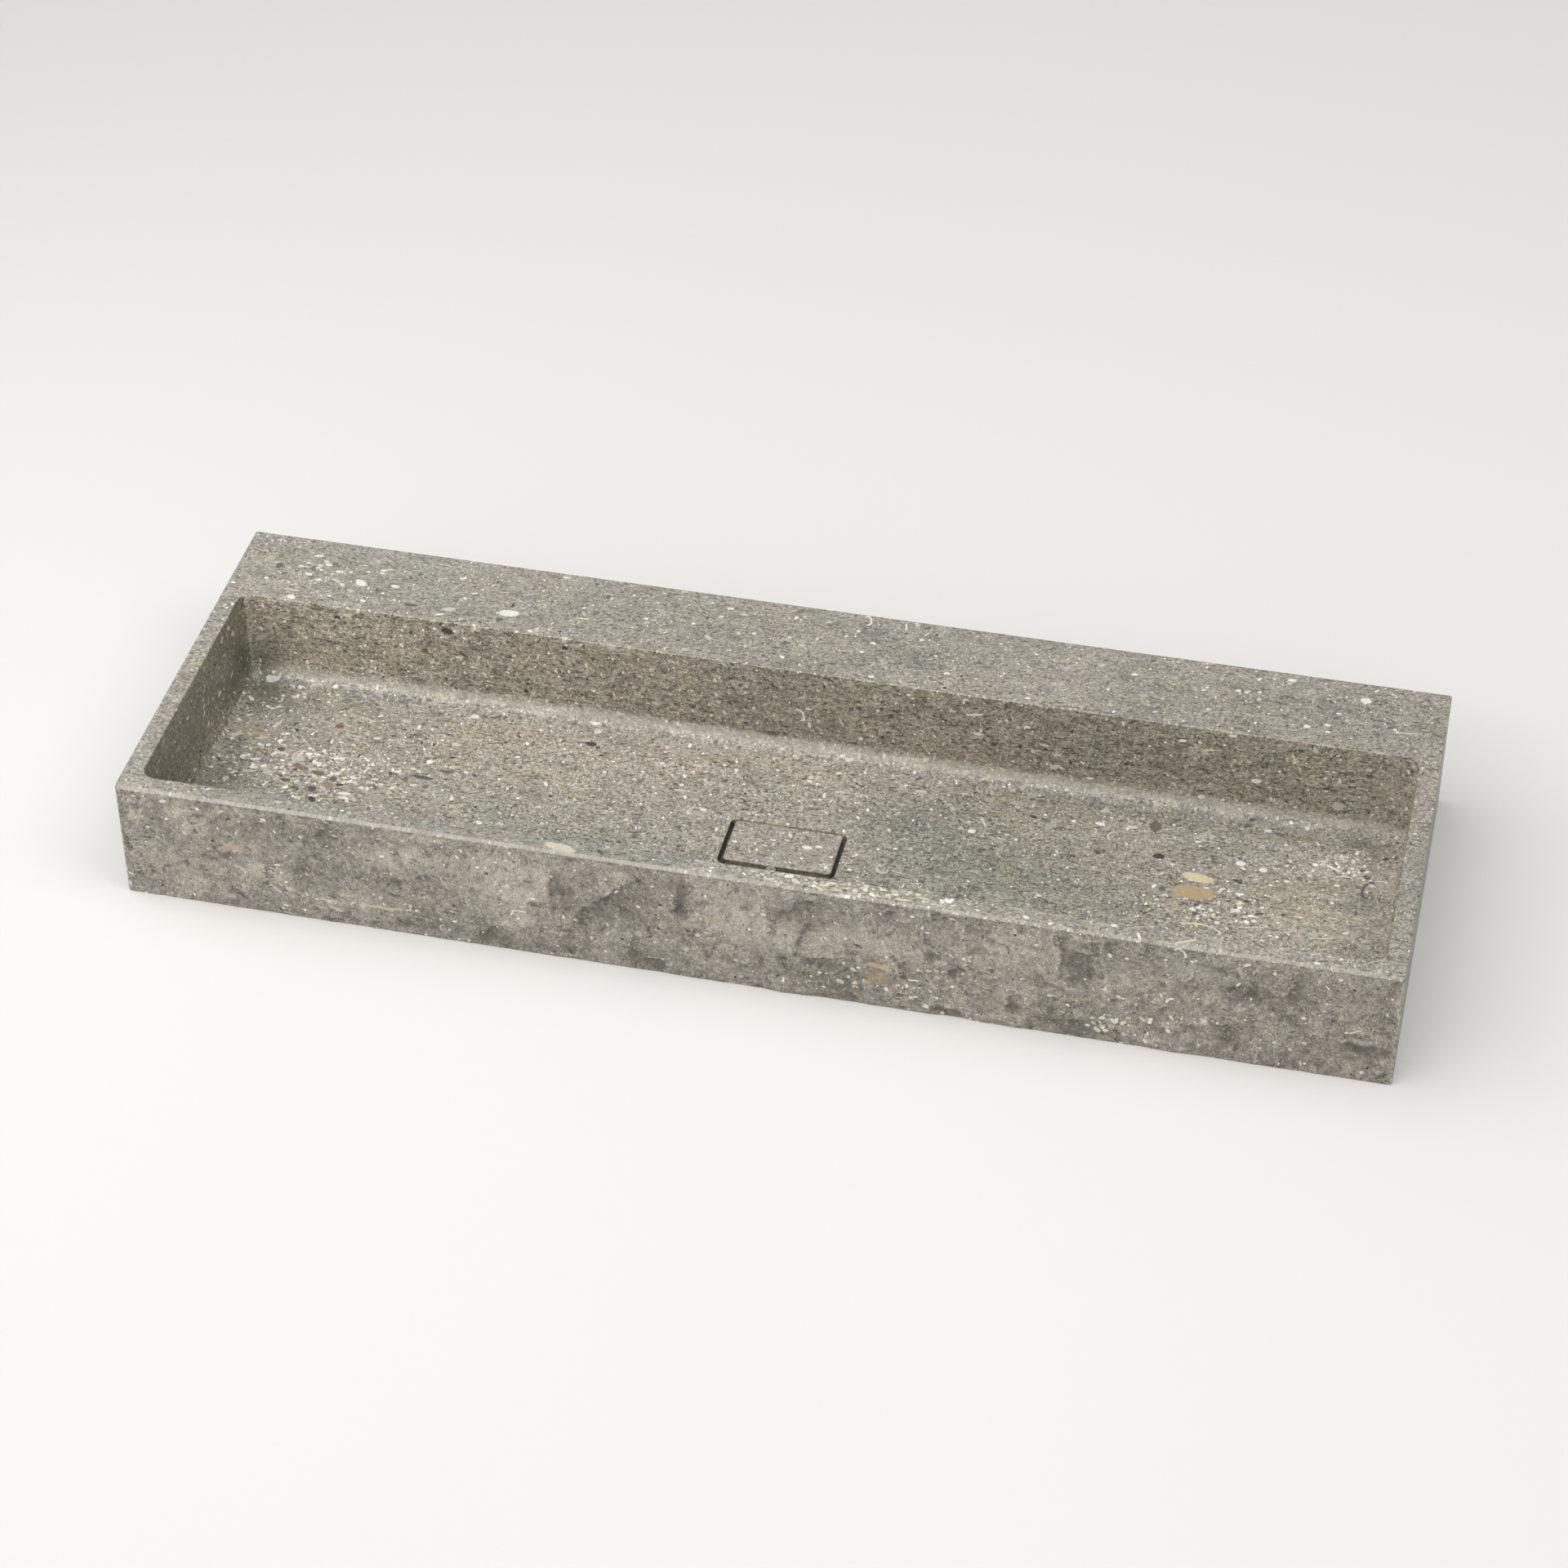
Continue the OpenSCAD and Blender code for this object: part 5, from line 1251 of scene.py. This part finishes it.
    m, r5 = scatter((0.45, 0.29, 0.17), 18.0, (4.0, 4.0, 4.0), 0.4, 1.1,
                    t.math("MULTIPLY", fewer, 0.34), ring=0.14)
    tone = t.mix(t.math("MULTIPLY", m, 0.80), tone, (0.62, 0.59, 0.50))
    m, r6 = scatter((0.57, 0.37, 0.23), 15.0, (4.2, 2.0, 2.4), 0.4, 1.1,
                    t.math("ADD", t.math("MULTIPLY", fewer, 0.22), t.math("MULTIPLY", crowd, 0.7)), spin=0.6)
    tone = t.mix(t.math("MULTIPLY", m, 0.75), tone, t.ramp(r6, [
        (0.0, PALE), (0.35, CREAM), (0.5, GREY), (0.72, BROWN), (0.85, OLIVE)], True))

    spread = t.vec("SCALE", t.vec("SUBTRACT", tone, base), scale=gr[0])
    tone = t.vec("MINIMUM", t.vec("MAXIMUM", t.vec("ADD", base, spread), (0.028, 0.025, 0.020)), (0.84, 0.82, 0.76))

    tone = t.vec("MULTIPLY", tone, t.attr("balance").outputs["Vector"])

    # listed pebbles and shells
    edge_noise = t.math("MULTIPLY", t.math("SUBTRACT", t.noise(p, 2.6, 2.0, 0.6), 0.5), 0.62)
    ragged_edge = t.math("ADD", edge_noise, t.math("MULTIPLY", t.math("SUBTRACT", t.noise(bent, 5.5, 3.0, 0.65), 0.5), 3.6))
    inner = t.span(t.noise(t.vec("MULTIPLY", bent, (0.5, 1.0, 1.0)), 2.4, 2, 0.5), 0.25, 0.75, 0.89, 1.16)
    for tag in "ab":
        chip = t.attr("chip_" + tag)
        local = t.split(chip.outputs["Vector"])
        u, v, kind = local[0], local[1], local[2]
        length = t.vec("LENGTH", t.join(u, v, 0.0))
        whole = t.smooth(t.math("ADD", length, edge_noise), 0.90, 1.04, 1.0, 0.0)
        ring = t.math("ABSOLUTE", t.math("SUBTRACT", t.math("ADD", length, t.math("MULTIPLY", edge_noise, 0.3)), 0.86))
        thick = t.span(v, -0.5, 0.7, 0.04, 0.19)
        arc_mask = t.math("MULTIPLY", t.smooth(t.math("SUBTRACT", ring, thick), -0.03, 0.03, 1.0, 0.0),
                          t.smooth(v, -0.5, -0.3))
        soft_mask = t.math("MULTIPLY", t.smooth(t.math("ADD", length, ragged_edge), 0.40, 1.15, 1.0, 0.0), 0.74)
        is_arc = t.math("COMPARE", kind, 2.0, 0.4)
        is_soft = t.math("COMPARE", kind, 3.0, 0.4)
        m = t.lerp(is_arc, whole, arc_mask)
        m = t.lerp(is_soft, m, soft_mask)
        m = t.math("MULTIPLY", m, t.math("GREATER_THAN", kind, 0.5))
        tone = t.mix(t.math("MULTIPLY", m, 0.94), tone, t.vec("SCALE", t.attr("chip_tone_" + tag).outputs["Color"], scale=inner))
    # painted shade in the short crevices of the split face
    tone = t.mix(t.math("MULTIPLY", t.math("MULTIPLY", crack, rough), 0.72), tone, (0.070, 0.064, 0.050))
    # painted highlight: a paler band along the rounded bottom edge of the back wall, with painted shade in darker
    # strips under it
    xyz = t.split(p)
    up_y = t.math("ADD", t.math("MULTIPLY", xyz[1], 0.643), t.math("MULTIPLY", xyz[2], 0.766))
    up_y = t.math("ADD", up_y, t.math("MULTIPLY", t.math("SUBTRACT", patch, 0.5), 0.004))
    foot_highlight = t.smooth(t.math("ABSOLUTE", t.math("SUBTRACT", up_y, 0.0960)), 0.0008, 0.0096, 1.0, 0.0)
    shade_under_highlight = t.smooth(t.math("ABSOLUTE", t.math("SUBTRACT", up_y, 0.0836)), 0.0010, 0.0050, 1.0, 0.0)
    inside = t.math("MULTIPLY", t.math("LESS_THAN", xyz[2], 0.058), t.math("GREATER_THAN", xyz[2], 0.026))
    reach = t.math("MULTIPLY", inside, t.smooth(xyz[1], 0.078, 0.086))
    reach = t.math("MULTIPLY", reach, t.smooth(t.math("ABSOLUTE", xyz[0]), 0.545, 0.572, 1.0, 0.0))
    foot_highlight, shade_under_highlight = t.math("MULTIPLY", foot_highlight, reach), t.math("MULTIPLY", shade_under_highlight, reach)
    tone = t.vec("SCALE", tone, scale=t.span(shade_under_highlight, 0.0, 1.0, 1.0, 0.84))
    # painted shade: a darker strip lower on the rounded edge, towards the right
    low = t.smooth(t.math("ABSOLUTE", t.math("SUBTRACT", up_y, 0.0795)), 0.0035, 0.0090, 1.0, 0.0)
    low = t.math("MULTIPLY", t.math("MULTIPLY", low, t.smooth(xyz[0], 0.08, 0.36)), t.smooth(xyz[1], 0.066, 0.078))
    low = t.math("MULTIPLY", t.math("MULTIPLY", low, inside), t.smooth(xyz[0], 0.545, 0.572, 1.0, 0.0))
    tone = t.vec("SCALE", tone, scale=t.span(low, 0.0, 1.0, 1.0, 0.82))
    highlight_tone = t.vec("SCALE", (0.585, 0.558, 0.500), scale=t.span(soft, 0.3, 0.7, 0.88, 1.12))
    highlight_tone = t.vec("SCALE", highlight_tone, scale=t.smooth(xyz[0], -0.05, 0.40, 1.0, 0.79))
    tone = t.vec("SCALE", tone, scale=t.span(foot_highlight, 0.0, 1.0, 1.0, 1.26))
    tone = t.mix(t.math("MULTIPLY", foot_highlight, 0.54), tone, highlight_tone)

    # sawn bevel band: pale, with short upright saw marks
    saw = t.noise(t.join(xyz[0], t.math("MULTIPLY", xyz[1], 0.06), t.math("MULTIPLY", xyz[2], 0.06)), 1.7, 2.5, 0.65)
    dash = t.noise(t.join(xyz[0], t.math("MULTIPLY", xyz[1], 0.10), t.math("MULTIPLY", xyz[2], 0.10)), 4.5, 2.0, 0.6)
    sawn = t.mix(t.span(saw, 0.3, 0.7), (0.30, 0.280, 0.248), (0.50, 0.468, 0.420))
    sawn = t.mix(t.smooth(dash, 0.66, 0.73), sawn, (0.70, 0.68, 0.64))
    sawn = t.vec("SCALE", sawn, scale=t.span(t.noise(t.join(xyz[0], 0.0, 0.0), 24.0, 2.0, 0.5), 0.3, 0.7, 0.86, 1.16))
    right = t.smooth(xyz[0], -0.10, 0.12, 0.92, 0.30)
    uneven = t.math("MULTIPLY", t.math("SUBTRACT", t.noise(t.join(xyz[0], 0.0, 0.0), 3.0, 2.0, 0.6), 0.5), 0.0012)
    level = t.math("ADD", xyz[2], uneven)
    edges = t.math("MULTIPLY", t.smooth(level, 0.1259, 0.1268), t.smooth(level, 0.1292, 0.1284))
    tone = t.mix(t.math("MULTIPLY", t.math("MULTIPLY", band, right), edges), tone, sawn)

    # surface: honed and slightly open-grained, coarse on the split face
    fine = t.noise(p, 1.1, 2.0, 0.6)
    n1 = t.bump(t.math("ADD", t.math("MULTIPLY", fine, 0.6), t.math("MULTIPLY", soft, 0.4)), 0.15, 0.0003)
    height = t.math("ADD", t.math("MULTIPLY", coarse, 0.8), t.math("MULTIPLY", pits, 0.35))
    height = t.math("SUBTRACT", height, t.math("MULTIPLY", crack, 0.25))
    n2 = t.bump(t.math("MULTIPLY", height, rough), 1.0, 0.0036, n1)
    wear = t.math("ADD", t.span(fine, 0.2, 0.8, 0.33, 0.43), t.math("MULTIPLY", t.math("MAXIMUM", rough, band), 0.40), clamp=True)
    t.finish(Base_Color=tone, Roughness=wear, Normal=n2)
    t.bsdf.inputs["Specular IOR Level"].default_value = 0.85
    return t.mat


def steel_material(name, tint, direction, base_rough, marks):
    t = Tree(name)
    p = t.place()
    xyz = t.split(t.vec("SUBTRACT", p, (0.0, MID_Y * 0.001, 0.0)))
    if direction == "round":        # turned: marks run round the drain axis
        rad = t.vec("LENGTH", t.join(xyz[0], xyz[1], 0.0))
        q = t.join(rad, t.math("MULTIPLY", t.math("ARCTAN2", xyz[1], xyz[0]), 0.0015), t.math("MULTIPLY", xyz[2], 1.0))
    else:                           # brushed straight
        q = t.join(t.math("MULTIPLY", xyz[0], 0.02), xyz[1], xyz[2])
    brush = t.noise(q, 0.35, 3.0, 0.6)
    cloud = t.noise(p, 14.0, 3.0, 0.6)
    spots = t.noise(p, 2.6, 3.0, 0.65)
    lift = t.math("MULTIPLY", t.span(brush, 0.25, 0.75, 0.90, 1.07), t.span(cloud, 0.3, 0.7, 0.93, 1.04))
    tone = t.vec("SCALE", tint, scale=lift)
    tone = t.mix(t.math("MULTIPLY", t.smooth(spots, 0.60, 0.74), marks), tone, (0.34, 0.33, 0.31))
    rough = t.math("ADD", t.span(brush, 0.2, 0.8, base_rough - 0.06, base_rough + 0.08),
                   t.math("MULTIPLY", t.smooth(spots, 0.55, 0.75), 0.18))
    t.finish(Base_Color=tone, Roughness=rough, Normal=t.bump(brush, 0.18, 0.0001))
    t.bsdf.inputs["Metallic"].default_value = 1.0
    return t.mat


def plain_material(name, tone_a, tone_b, rough_low, rough_high, period, bump, **fixed):
    t = Tree(name)
    p = t.place()
    n = t.noise(p, period, 3.0, 0.6)
    fine = t.noise(p, period * 0.18, 2.0, 0.6)
    tone = t.mix(t.span(n, 0.3, 0.7), tone_a, tone_b)
    t.finish(Base_Color=tone, Roughness=t.span(fine, 0.3, 0.7, rough_low, rough_high),
             Normal=t.bump(fine, bump, 0.0002))
    for k, v in fixed.items():
        t.bsdf.inputs[k.replace("_", " ")].default_value = v
    return t.mat


# -------------------------------------------------------------------- camera
az, el, roll = (math.radians(a) for a in (-13.117, 39.883, -0.209))
ahead = Vector((math.sin(az) * math.cos(el), math.cos(az) * math.cos(el), -math.sin(el)))
side = Vector((math.cos(az), -math.sin(az), 0.0))
above = side.cross(ahead)
side2 = math.cos(roll) * side + math.sin(roll) * above
above2 = -math.sin(roll) * side + math.cos(roll) * above
cam = bpy.data.cameras.new("camera")
cam.sensor_fit = "HORIZONTAL"
cam.sensor_width = 36.0
cam.lens = 36.0 * 4916.0 / 1920.0
cam.clip_end = 200.0
cam_ob = bpy.data.objects.new("camera", cam)
place = Matrix((side2, above2, -ahead)).transposed().to_4x4()
place.translation = Vector((0.6577, -2.8555, 2.5238))
cam_ob.matrix_world = place
scene.collection.objects.link(cam_ob)
scene.camera = cam_ob


# ---------------------------------------------------------------- the pieces
def put_piece(me, name, mats):
    ob = bpy.data.objects.new(name, me)
    scene.collection.objects.link(ob)
    for m in mats:
        me.materials.append(m)
    me.polygons.foreach_set("use_smooth", np.ones(len(me.polygons), bool))
    me.set_sharp_from_angle(angle=math.radians(36))
    mod = ob.modifiers.new("weighted", "WEIGHTED_NORMAL")
    mod.mode = "FACE_AREA"
    mod.weight = 60
    mod.keep_sharp = True
    return ob


block_me, grid = build_block()
add_cavity(block_me, grid)
paint(block_me)
block = put_piece(block_me, "stone_block", [stone_material("shell_stone")])
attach(block, "sink")
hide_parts("basin_block")

cover_me = build_cover()
paint(cover_me, cover=True)
cover = put_piece(cover_me, "stone_cover", [stone_material("shell_stone_cover")])
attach(cover, "cover")
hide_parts("drain_cover")

looks = {
    "waste_body": steel_material("turned_steel", (0.60, 0.61, 0.62), "round", 0.24, 0.25),
    "strainer_disc": steel_material("brushed_steel", (0.62, 0.62, 0.62), "straight", 0.28, 0.35),
    "strainer_screw": steel_material("screw_steel", (0.58, 0.585, 0.59), "round", 0.22, 0.20),
    "lock_nut": steel_material("nut_brass", (0.72, 0.52, 0.25), "straight", 0.34, 0.45),
    "bracket_inserts": steel_material("insert_brass", (0.70, 0.50, 0.24), "straight", 0.36, 0.40),
    "flange_seal": plain_material("seal_rubber", (0.018, 0.018, 0.018), (0.035, 0.034, 0.033), 0.55, 0.72, 6, 0.3),
    "lower_gasket": plain_material("gasket_rubber", (0.020, 0.020, 0.020), (0.040, 0.039, 0.037), 0.58, 0.75, 7, 0.3),
    "friction_washer": plain_material("washer_plastic", (0.70, 0.70, 0.66), (0.80, 0.79, 0.75), 0.40, 0.52, 9, 0.15),
    "cover_bumpers": plain_material("clear_silicone", (0.74, 0.76, 0.74), (0.82, 0.83, 0.81), 0.24, 0.38, 3, 0.2,
                                    Transmission_Weight=0.55, IOR=1.41),
}
for node_name, mat in looks.items():
    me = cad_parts[node_name].data
    me.materials.clear()
    me.materials.append(mat)

# ----------------------------------------------------------- floor and light
floor_me = bpy.data.meshes.new("floor")
floor_me.from_pydata([(-30, -30, -0.0003), (30, -30, -0.0003), (30, 30, -0.0003), (-30, 30, -0.0003)], [], [(0, 1, 2, 3)])
floor = bpy.data.objects.new("floor", floor_me)
scene.collection.objects.link(floor)
ft = Tree("pale_floor")
fp = ft.place()
ft.finish(Base_Color=ft.mix(ft.noise(fp, 900, 2, 0.5), (0.800, 0.794, 0.782), (0.812, 0.806, 0.796)),
          Roughness=ft.span(ft.noise(fp, 60, 2, 0.5), 0.0, 1.0, 0.86, 0.94))
ft.bsdf.inputs["Specular IOR Level"].default_value = 0.1
floor_me.materials.append(ft.mat)

world = bpy.data.worlds.new("studio")
scene.world = world
world.use_nodes = True
# the studio is bright in front of the sink, at its left and overhead
wt = world.node_tree
w_dir = wt.nodes.new("ShaderNodeTexCoord")
w_xyz = wt.nodes.new("ShaderNodeSeparateXYZ")
wt.links.new(w_dir.outputs["Generated"], w_xyz.inputs[0])
w_sum = None
for axis, gain in ((0, -0.737), (1, -0.817), (2, 0.357)):
    w_part = wt.nodes.new("ShaderNodeMath")
    w_part.operation = "MULTIPLY"
    w_part.inputs[1].default_value = gain
    w_part.use_clamp = True
    wt.links.new(w_xyz.outputs[axis], w_part.inputs[0])
    if w_sum is None:
        w_sum = w_part
    else:
        w_add = wt.nodes.new("ShaderNodeMath")
        wt.links.new(w_sum.outputs[0], w_add.inputs[0])
        wt.links.new(w_part.outputs[0], w_add.inputs[1])
        w_sum = w_add
wt.links.new(w_sum.outputs[0], wt.nodes["Background"].inputs["Strength"])
wt.nodes["Background"].inputs["Color"].default_value = (1.0, 0.992, 0.980, 1.0)


def area(name, where, target, size, power, tint):
    data = bpy.data.lights.new(name, "AREA")
    data.shape = "RECTANGLE"
    data.size, data.size_y = size
    data.energy = power
    data.color = tint
    ob = bpy.data.objects.new(name, data)
    ob.location = where
    ob.rotation_euler = (Vector(target) - Vector(where)).to_track_quat("-Z", "Y").to_euler()
    scene.collection.objects.link(ob)


area("left", (-1.463, -0.134, 1.497), (0.0, 0.0, 0.0), (1.19, 1.19), 6.4, (1.0, 0.985, 0.965))
area("high", (2.43, -0.667, 4.326), (0.0, -0.3, 0.0), (2.6, 3.1), 72.2, (1.0, 0.985, 0.965))
area("top", (-0.3, 0.2, 3.6), (0.0, 0.0, 0.0), (2.5, 2.5), 22.0, (1.0, 0.985, 0.965))
area("front", (-0.5, -2.0, 2.25), (0.0, 0.0, 0.0), (2.6, 0.5), 12.2, (1.0, 0.99, 0.985))
area("front_left", (-2.0, -1.8, 1.8), (0.0, 0.0, 0.0), (2.0, 1.5), 5.0, (1.0, 0.99, 0.985))
scene.view_settings.view_transform = "Standard"
scene.view_settings.look = "None"
scene.view_settings.exposure = 0.0
scene.view_settings.gamma = 1.0
